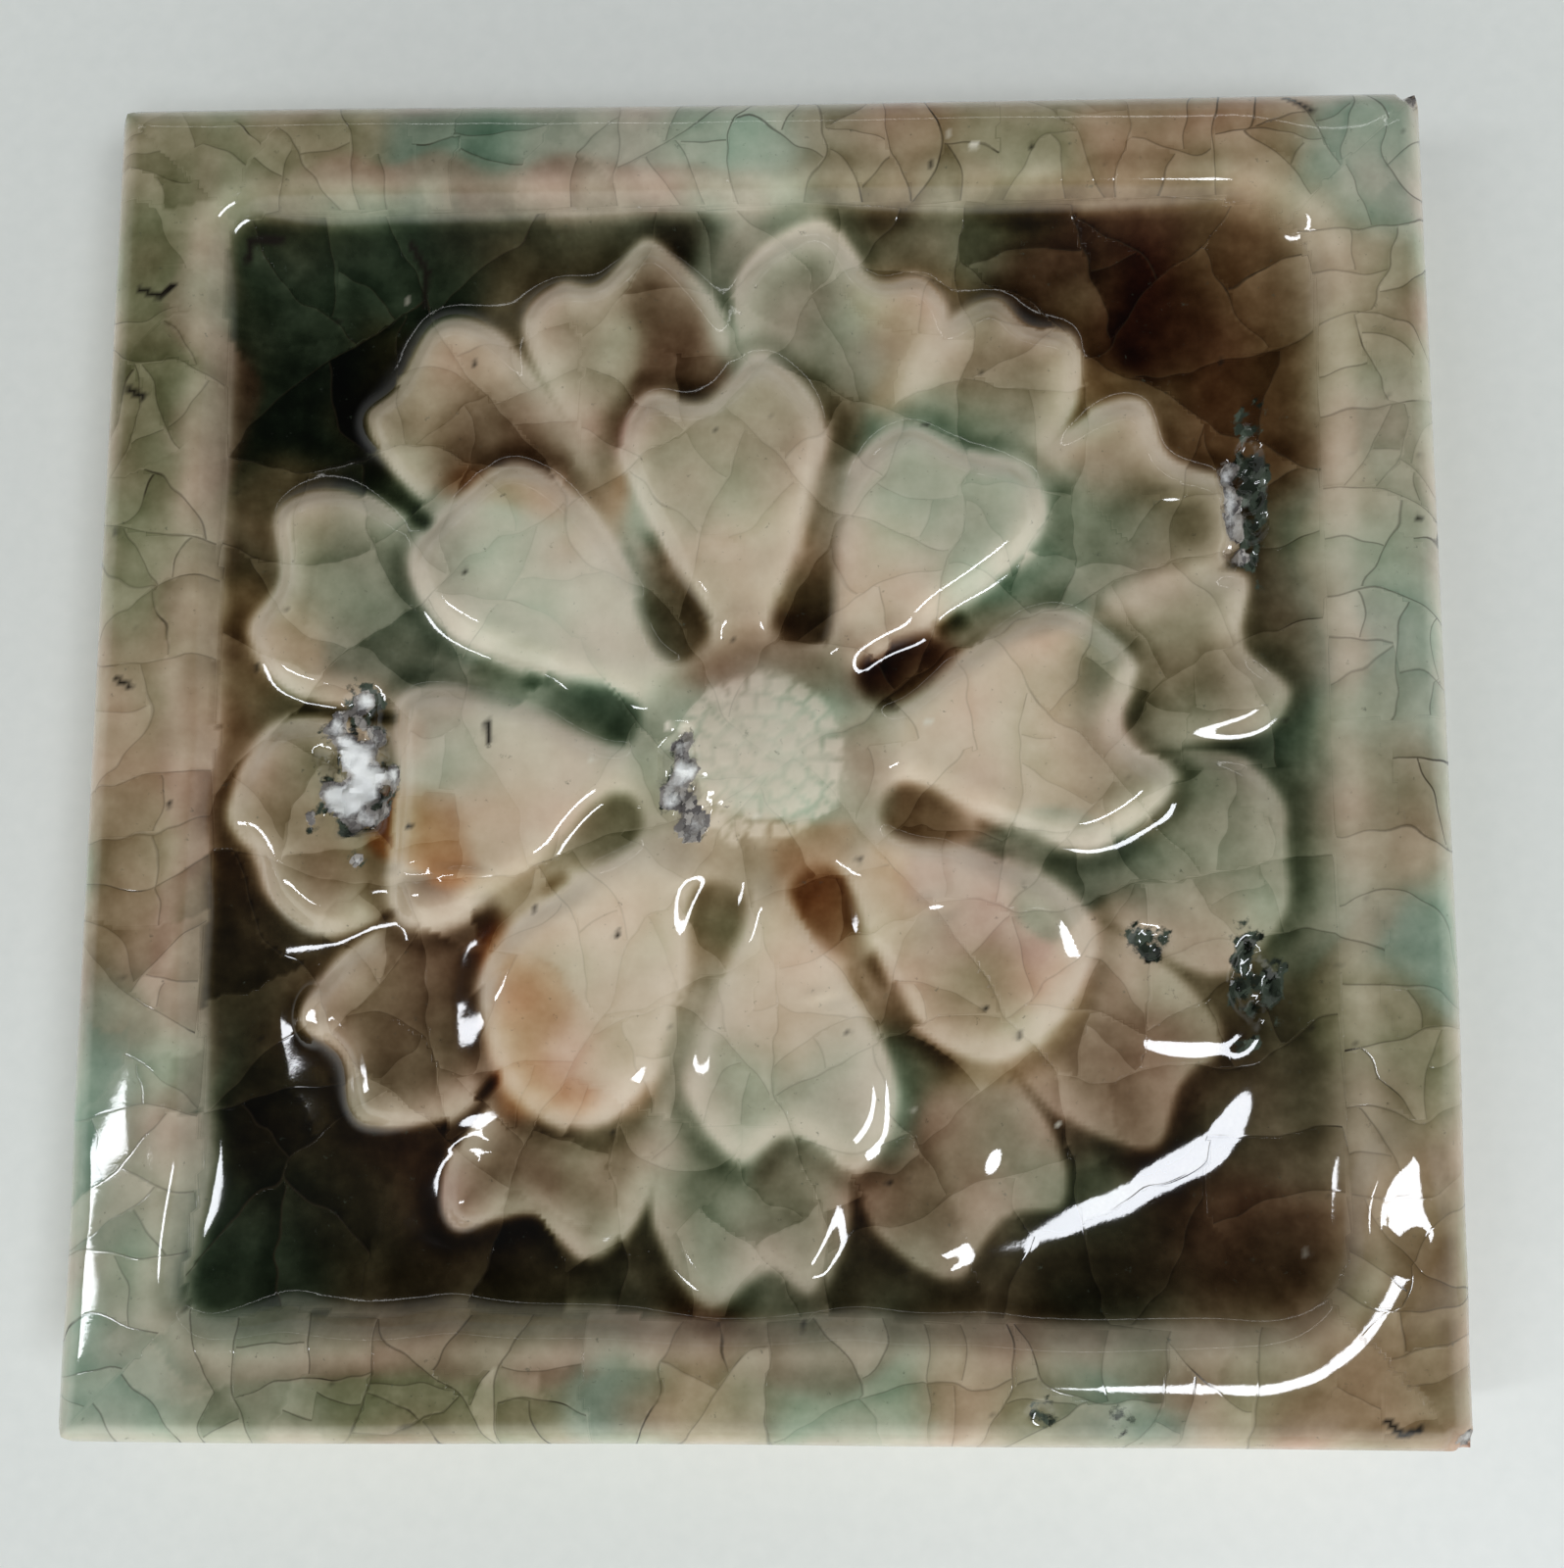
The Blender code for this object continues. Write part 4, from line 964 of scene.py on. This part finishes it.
def glaze_material():
    """Majolica glaze over earthenware: a thick clear lead glaze, tinted green, brown and teal, crazed by
    age. To the eye it is a wet, glassy gloss over a pale body that shows wherever the glaze thins, cut by
    fine brown stained cracks. Chips show the rough whitish body."""
    material, tree, shader = new_material("majolica glaze", IOR=1.52)
    place = node(tree, "TexCoord", {}, out="Object")
    depth = node(tree, "Attribute", {}, out="Fac", attribute_name="glaze_depth")
    tint = node(tree, "Attribute", {}, out="Vector", attribute_name="glaze_tint")
    marks = node(tree, "Attribute", {}, out="Vector", attribute_name="marks")
    bare, soot, shown = (node(tree, "SeparateXYZ", {0: marks}, out=i) for i in range(3))
    flakes = node(tree, "Attribute", {}, out="Vector", attribute_name="flakes")
    heart, shards, bubble = (node(tree, "SeparateXYZ", {0: flakes}, out=i) for i in range(3))

    # A crack lies where one of the distances is zero. Beside each crack, light and shade are painted in: the
    # glaze is made thinner on one side and deeper on the other, as if the crack's inner face threw light back
    near, painted_light_sides = (FAR, FAR, FAR), (0.0, 0.0, 0.0)
    run = (-1.0 / CRACK_PAINTED_LIGHT_RUN,) * 3
    for k in range(CRAZE_ROUNDS // 3):
        triple = node(tree, "Attribute", {}, out="Vector", attribute_name=f"cracks_{k}")
        apart = node(tree, "VectorMath", {0: triple}, operation="ABSOLUTE")
        near = node(tree, "VectorMath", {0: near, 1: apart}, operation="MINIMUM")
        fade = node(tree, "VectorMath", {0: apart, 1: run, 2: (1.0, 1.0, 1.0)}, operation="MULTIPLY_ADD")
        fade = node(tree, "VectorMath", {0: fade, 1: (0.0, 0.0, 0.0)}, operation="MAXIMUM")
        side = node(tree, "VectorMath", {0: triple}, operation="SIGN")
        painted_light_sides = node(tree, "VectorMath", {0: side, 1: fade, 2: painted_light_sides}, operation="MULTIPLY_ADD")
    first, second, third = (node(tree, "SeparateXYZ", {0: near}, out=i) for i in range(3))
    nearest = node(tree, "Math", {0: first, 1: second}, operation="MINIMUM")
    nearest = node(tree, "Math", {0: nearest, 1: third}, operation="MINIMUM")
    line = node(tree, "MapRange", {0: nearest, 1: CRACK_LINE[0], 2: CRACK_LINE[1], 3: 1.0, 4: 0.0}, **SMOOTH)
    halo = node(tree, "MapRange", {0: nearest, 1: 0.0, 2: CRACK_HALO, 3: 1.0, 4: 0.0}, **SMOOTH)
    line = node(tree, "Math", {0: line, 1: shown}, operation="MULTIPLY")

    # Clouds 1.6 mm across in the glaze, and grains 0.5 mm across in it and in the bare body
    noises = []
    for size, roughness in ((1.6, 0.6), (0.5, 0.7)):
        noise = {"Vector": place, "Scale": 1.0 / (size * MM), "Detail": 3.0, "Roughness": roughness}
        noises.append(node(tree, "TexNoise", noise))
    cloud, grain = noises
    cloudy = node(tree, "MapRange", {0: cloud, 1: 0.2, 2: 0.8, 3: 0.80, 4: 1.20})
    depth = node(tree, "Math", {0: depth, 1: cloudy}, operation="MULTIPLY")
    # Painted light and shade at the cracks: one side of each is made lighter and the other darker
    step = node(tree, "VectorMath", {0: painted_light_sides, 1: (CRACK_PAINTED_LIGHT, -CRACK_PAINTED_LIGHT, CRACK_PAINTED_LIGHT)}, out="Value",
                operation="DOT_PRODUCT")
    step = node(tree, "Math", {0: step, 1: 1.0}, operation="ADD")
    depth = node(tree, "Math", {0: depth, 1: step}, operation="MULTIPLY")
    depth = node(tree, "Math", {0: halo, 1: 0.05, 2: depth}, operation="MULTIPLY_ADD")

    # What comes back through the glaze is its tint to the power of its depth
    kept = node(tree, "VectorMath", {0: tint, 1: depth}, operation="POWER")
    clay = node(tree, "Mix", {0: cloud, 6: linear("#ebdfcc"), 7: linear("#decdb8")}, **COLOURS)
    colour = node(tree, "Mix", {0: 1.0, 6: clay, 7: kept}, **COLOURS, blend_type="MULTIPLY")
    # Stained cracks, and dirt
    for share, over in ((line, "#2b2317"), (soot, "#17130e")):
        colour = node(tree, "Mix", {0: share, 6: colour, 7: linear(over)}, **COLOURS)

    # Where a flake is lost, the body shows in violet-grey shards half a millimetre across, dark along their
    # edges, round a powdery white heart
    warped = node(tree, "VectorMath", {0: grain, 1: (0.9 * MM,) * 3, 2: place}, operation="MULTIPLY_ADD")
    warped = node(tree, "VectorMath", {0: warped, 1: (1.3, 0.7, 1.0)}, operation="MULTIPLY")
    cells = {"Vector": warped, "Scale": 1.0 / (0.5 * MM)}
    cell = node(tree, "TexVoronoi", cells, out="Color", voronoi_dimensions="2D")
    cell = node(tree, "SeparateXYZ", {0: cell})
    outline = node(tree, "TexVoronoi", cells, voronoi_dimensions="2D", feature="DISTANCE_TO_EDGE")
    outline = node(tree, "MapRange", {0: outline, 1: 0.02, 2: 0.12, 3: 1.0, 4: 0.0})
    partly = node(tree, "MapRange", {0: cloud, 1: 0.42, 2: 0.58, 3: 0.0, 4: 0.8})
    outline = node(tree, "Math", {0: outline, 1: partly}, operation="MULTIPLY")
    swings = ((shards, 1.6, 0.25, 0.60), (bare, 1.2, 0.40, 0.62), (heart, 0.9, 0.15, 0.75))
    ragged = []
    for share, swing, low, high in swings:
        uneven = node(tree, "Math", {0: grain, 1: swing, 2: -0.5 * swing}, operation="MULTIPLY_ADD")
        uneven = node(tree, "Math", {0: share, 1: uneven}, operation="ADD")
        ragged.append(node(tree, "MapRange", {0: uneven, 1: low, 2: high}))
    shard, bare, powder = ragged
    pane = node(tree, "Mix", {0: cell, 6: linear("#12160f"), 7: linear("#4a5347")}, **COLOURS)
    colour = node(tree, "Mix", {0: shard, 6: colour, 7: pane}, **COLOURS)
    raw = node(tree, "Mix", {0: cell, 6: linear("#4f4a49"), 7: linear("#aca69e")}, **COLOURS)
    for share, over in ((outline, "#3a3634"), (powder, "#f2f3f0")):
        raw = node(tree, "Mix", {0: share, 6: raw, 7: linear(over)}, **COLOURS)
    colour = node(tree, "Mix", {0: bare, 6: colour, 7: raw}, **COLOURS)
    colour = node(tree, "Mix", {0: bubble, 6: colour, 7: linear("#d9d2bf")}, **COLOURS)
    tree.links.new(colour, shader.inputs["Base Color"])

    gloss = node(tree, "MapRange", {0: cloud, 1: 0.2, 2: 0.8, 3: 0.03, 4: 0.07})
    gloss = node(tree, "Math", {0: line, 1: 0.10, 2: gloss}, operation="MULTIPLY_ADD")
    rough = node(tree, "Mix", {0: bare, 2: gloss, 3: 0.65})
    tree.links.new(rough, shader.inputs["Roughness"])

    # The gloss has a faint orange peel, each crack a shallow groove, and the bare body a rough grain
    peel = node(tree, "Math", {0: bare, 1: 2.5, 2: 0.10}, operation="MULTIPLY_ADD")
    height = node(tree, "Math", {0: grain, 1: peel}, operation="MULTIPLY")
    height = node(tree, "Math", {0: line, 1: -0.25, 2: height}, operation="MULTIPLY_ADD")
    bump = node(tree, "Bump", {"Distance": 0.02 * MM, "Height": height})
    tree.links.new(bump, shader.inputs["Normal"])
    return material


def biscuit_material():
    """Unglazed earthenware back, once fired and never glazed: matt, chalky buff, with iron specks and
    smears of old dirt, and fine pits from the pressing cloth."""
    material, tree, shader = new_material("earthenware biscuit", Roughness=0.86, IOR=1.45)
    place = node(tree, "TexCoord", {}, out="Object")
    cloud = {"Vector": place, "Scale": 1.0 / (12.0 * MM), "Detail": 4.0, "Roughness": 0.6}
    cloud = node(tree, "TexNoise", cloud)
    cloud = node(tree, "MapRange", {0: cloud, 1: 0.38, 2: 0.64})
    colour = node(tree, "Mix", {0: cloud, 6: linear("#cdb696"), 7: linear("#b59b79")}, **COLOURS)
    speck = node(tree, "TexVoronoi", {"Vector": place, "Scale": 1.0 / (1.8 * MM)})
    speck = node(tree, "MapRange", {0: speck, 1: 0.05, 2: 0.12, 3: 1.0, 4: 0.0})
    share = node(tree, "Math", {0: speck, 1: 0.6}, operation="MULTIPLY")
    colour = node(tree, "Mix", {0: share, 6: colour, 7: linear("#6a4a30")}, **COLOURS)
    tree.links.new(colour, shader.inputs["Base Color"])
    pits = {"Vector": place, "Scale": 1.0 / (0.9 * MM), "Detail": 4.0, "Roughness": 0.65}
    pits = node(tree, "TexNoise", pits)
    height = node(tree, "Math", {0: speck, 1: -0.4, 2: pits}, operation="MULTIPLY_ADD")
    bump = node(tree, "Bump", {"Strength": 0.6, "Distance": 0.12 * MM, "Height": height})
    tree.links.new(bump, shader.inputs["Normal"])
    return material


def add_floor():
    """A plain pale sheet under the tile, with a satin finish."""
    half = 1.5
    mesh = bpy.data.meshes.new("floor")
    corners = [(-half, -half, 0), (half, -half, 0), (half, half, 0), (-half, half, 0)]
    mesh.from_pydata(corners, [], [(0, 1, 2, 3)])
    floor = bpy.data.objects.new("floor", mesh)
    material, tree, shader = new_material("pale laminate", Roughness=0.45)
    place = node(tree, "TexCoord", {}, out="Object")
    cloud = node(tree, "TexNoise", {"Vector": place, "Scale": 1.0 / (1.2 * MM), "Detail": 3.0})
    colour = node(tree, "Mix", {0: cloud, 6: linear("#eff1ec"), 7: linear("#e6e9e4")}, **COLOURS)
    tree.links.new(colour, shader.inputs["Base Color"])
    mesh.materials.append(material)
    bpy.context.scene.collection.objects.link(floor)
    return floor


def add_softbox(name, azimuth, tilt, size, radiance, colour="#ffffff", distance=0.75):
    """A flat rectangular light that faces the tile: azimuth anticlockwise from +X, tilt down from overhead,
    size sideways and then up and down in metres, and radiance as how bright it is to look at."""
    light = bpy.data.lights.new(name, "AREA")
    light.shape = "RECTANGLE"
    light.size, light.size_y = size
    light.energy = radiance * math.pi * size[0] * size[1]
    light.color = linear(colour)[:3]
    a, t = math.radians(azimuth), math.radians(tilt)
    place = Vector((math.sin(t) * math.cos(a), math.sin(t) * math.sin(a), math.cos(t))) * distance
    item = bpy.data.objects.new(name, light)
    item.location = place
    item.rotation_euler = place.to_track_quat("Z", "Y").to_euler()
    bpy.context.scene.collection.objects.link(item)


def add_lights():
    """Soft studio light: a dome that is bright low down and dim overhead, so that the flat glaze stays
    deep, and a few softboxes whose images the gloss shows as bright bands and lines."""
    world = bpy.data.worlds.new("studio")
    world.use_nodes = True
    tree = world.node_tree
    background = tree.nodes["Background"]
    background.inputs["Color"].default_value = linear("#f4f7f4")
    way = node(tree, "TexCoord", {}, out="Generated")
    northward, upward = (node(tree, "SeparateXYZ", {0: way}, out=i) for i in (1, 2))
    low, high = (math.cos(math.radians(from_zenith)) for from_zenith in (66, 44))
    dome = {0: upward, 1: low, 2: high, 3: 1.04, 4: 0.07}
    dome = node(tree, "MapRange", dome, **SMOOTH)
    side = {0: northward, 1: -0.6, 2: 0.6, 3: 1.4, 4: 0.45}
    side = node(tree, "MapRange", side, **SMOOTH)
    strength = node(tree, "Math", {0: dome, 1: side}, operation="MULTIPLY")
    tree.links.new(strength, background.inputs["Strength"])
    bpy.context.scene.world = world
    add_softbox("key right", -43, 33, (0.37, 0.10), 22.0, "#f4f8ff")
    add_softbox("key left", 195, 38, (0.04, 0.32), 22.0, "#f6f9ff")
    add_softbox("line back", 90, 44, (1.10, 0.010), 5.0)
    bpy.context.scene.view_settings.view_transform = "Standard"


def add_camera():
    """Nearly overhead and a little towards the tile's bottom edge, as the photograph was taken."""
    image_width, focal_length = 1596.0, 1600.0
    place, turns = (4.17, -12.09, 96.62), (6.41, 1.97, 0.09)
    camera = bpy.data.cameras.new("camera")
    camera.sensor_fit = "HORIZONTAL"
    camera.sensor_width = 36.0
    camera.lens = camera.sensor_width * focal_length / image_width
    camera.clip_start = 0.01
    item = bpy.data.objects.new("camera", camera)
    item.location = Vector(place) * MM
    item.rotation_euler = [math.radians(turn) for turn in turns]
    bpy.context.scene.collection.objects.link(item)
    bpy.context.scene.camera = item


tile = add_tile()
tile.data.materials.append(glaze_material())
tile.data.materials.append(biscuit_material())
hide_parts("tile")
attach(tile, "root")
add_floor()
add_lights()
add_camera()
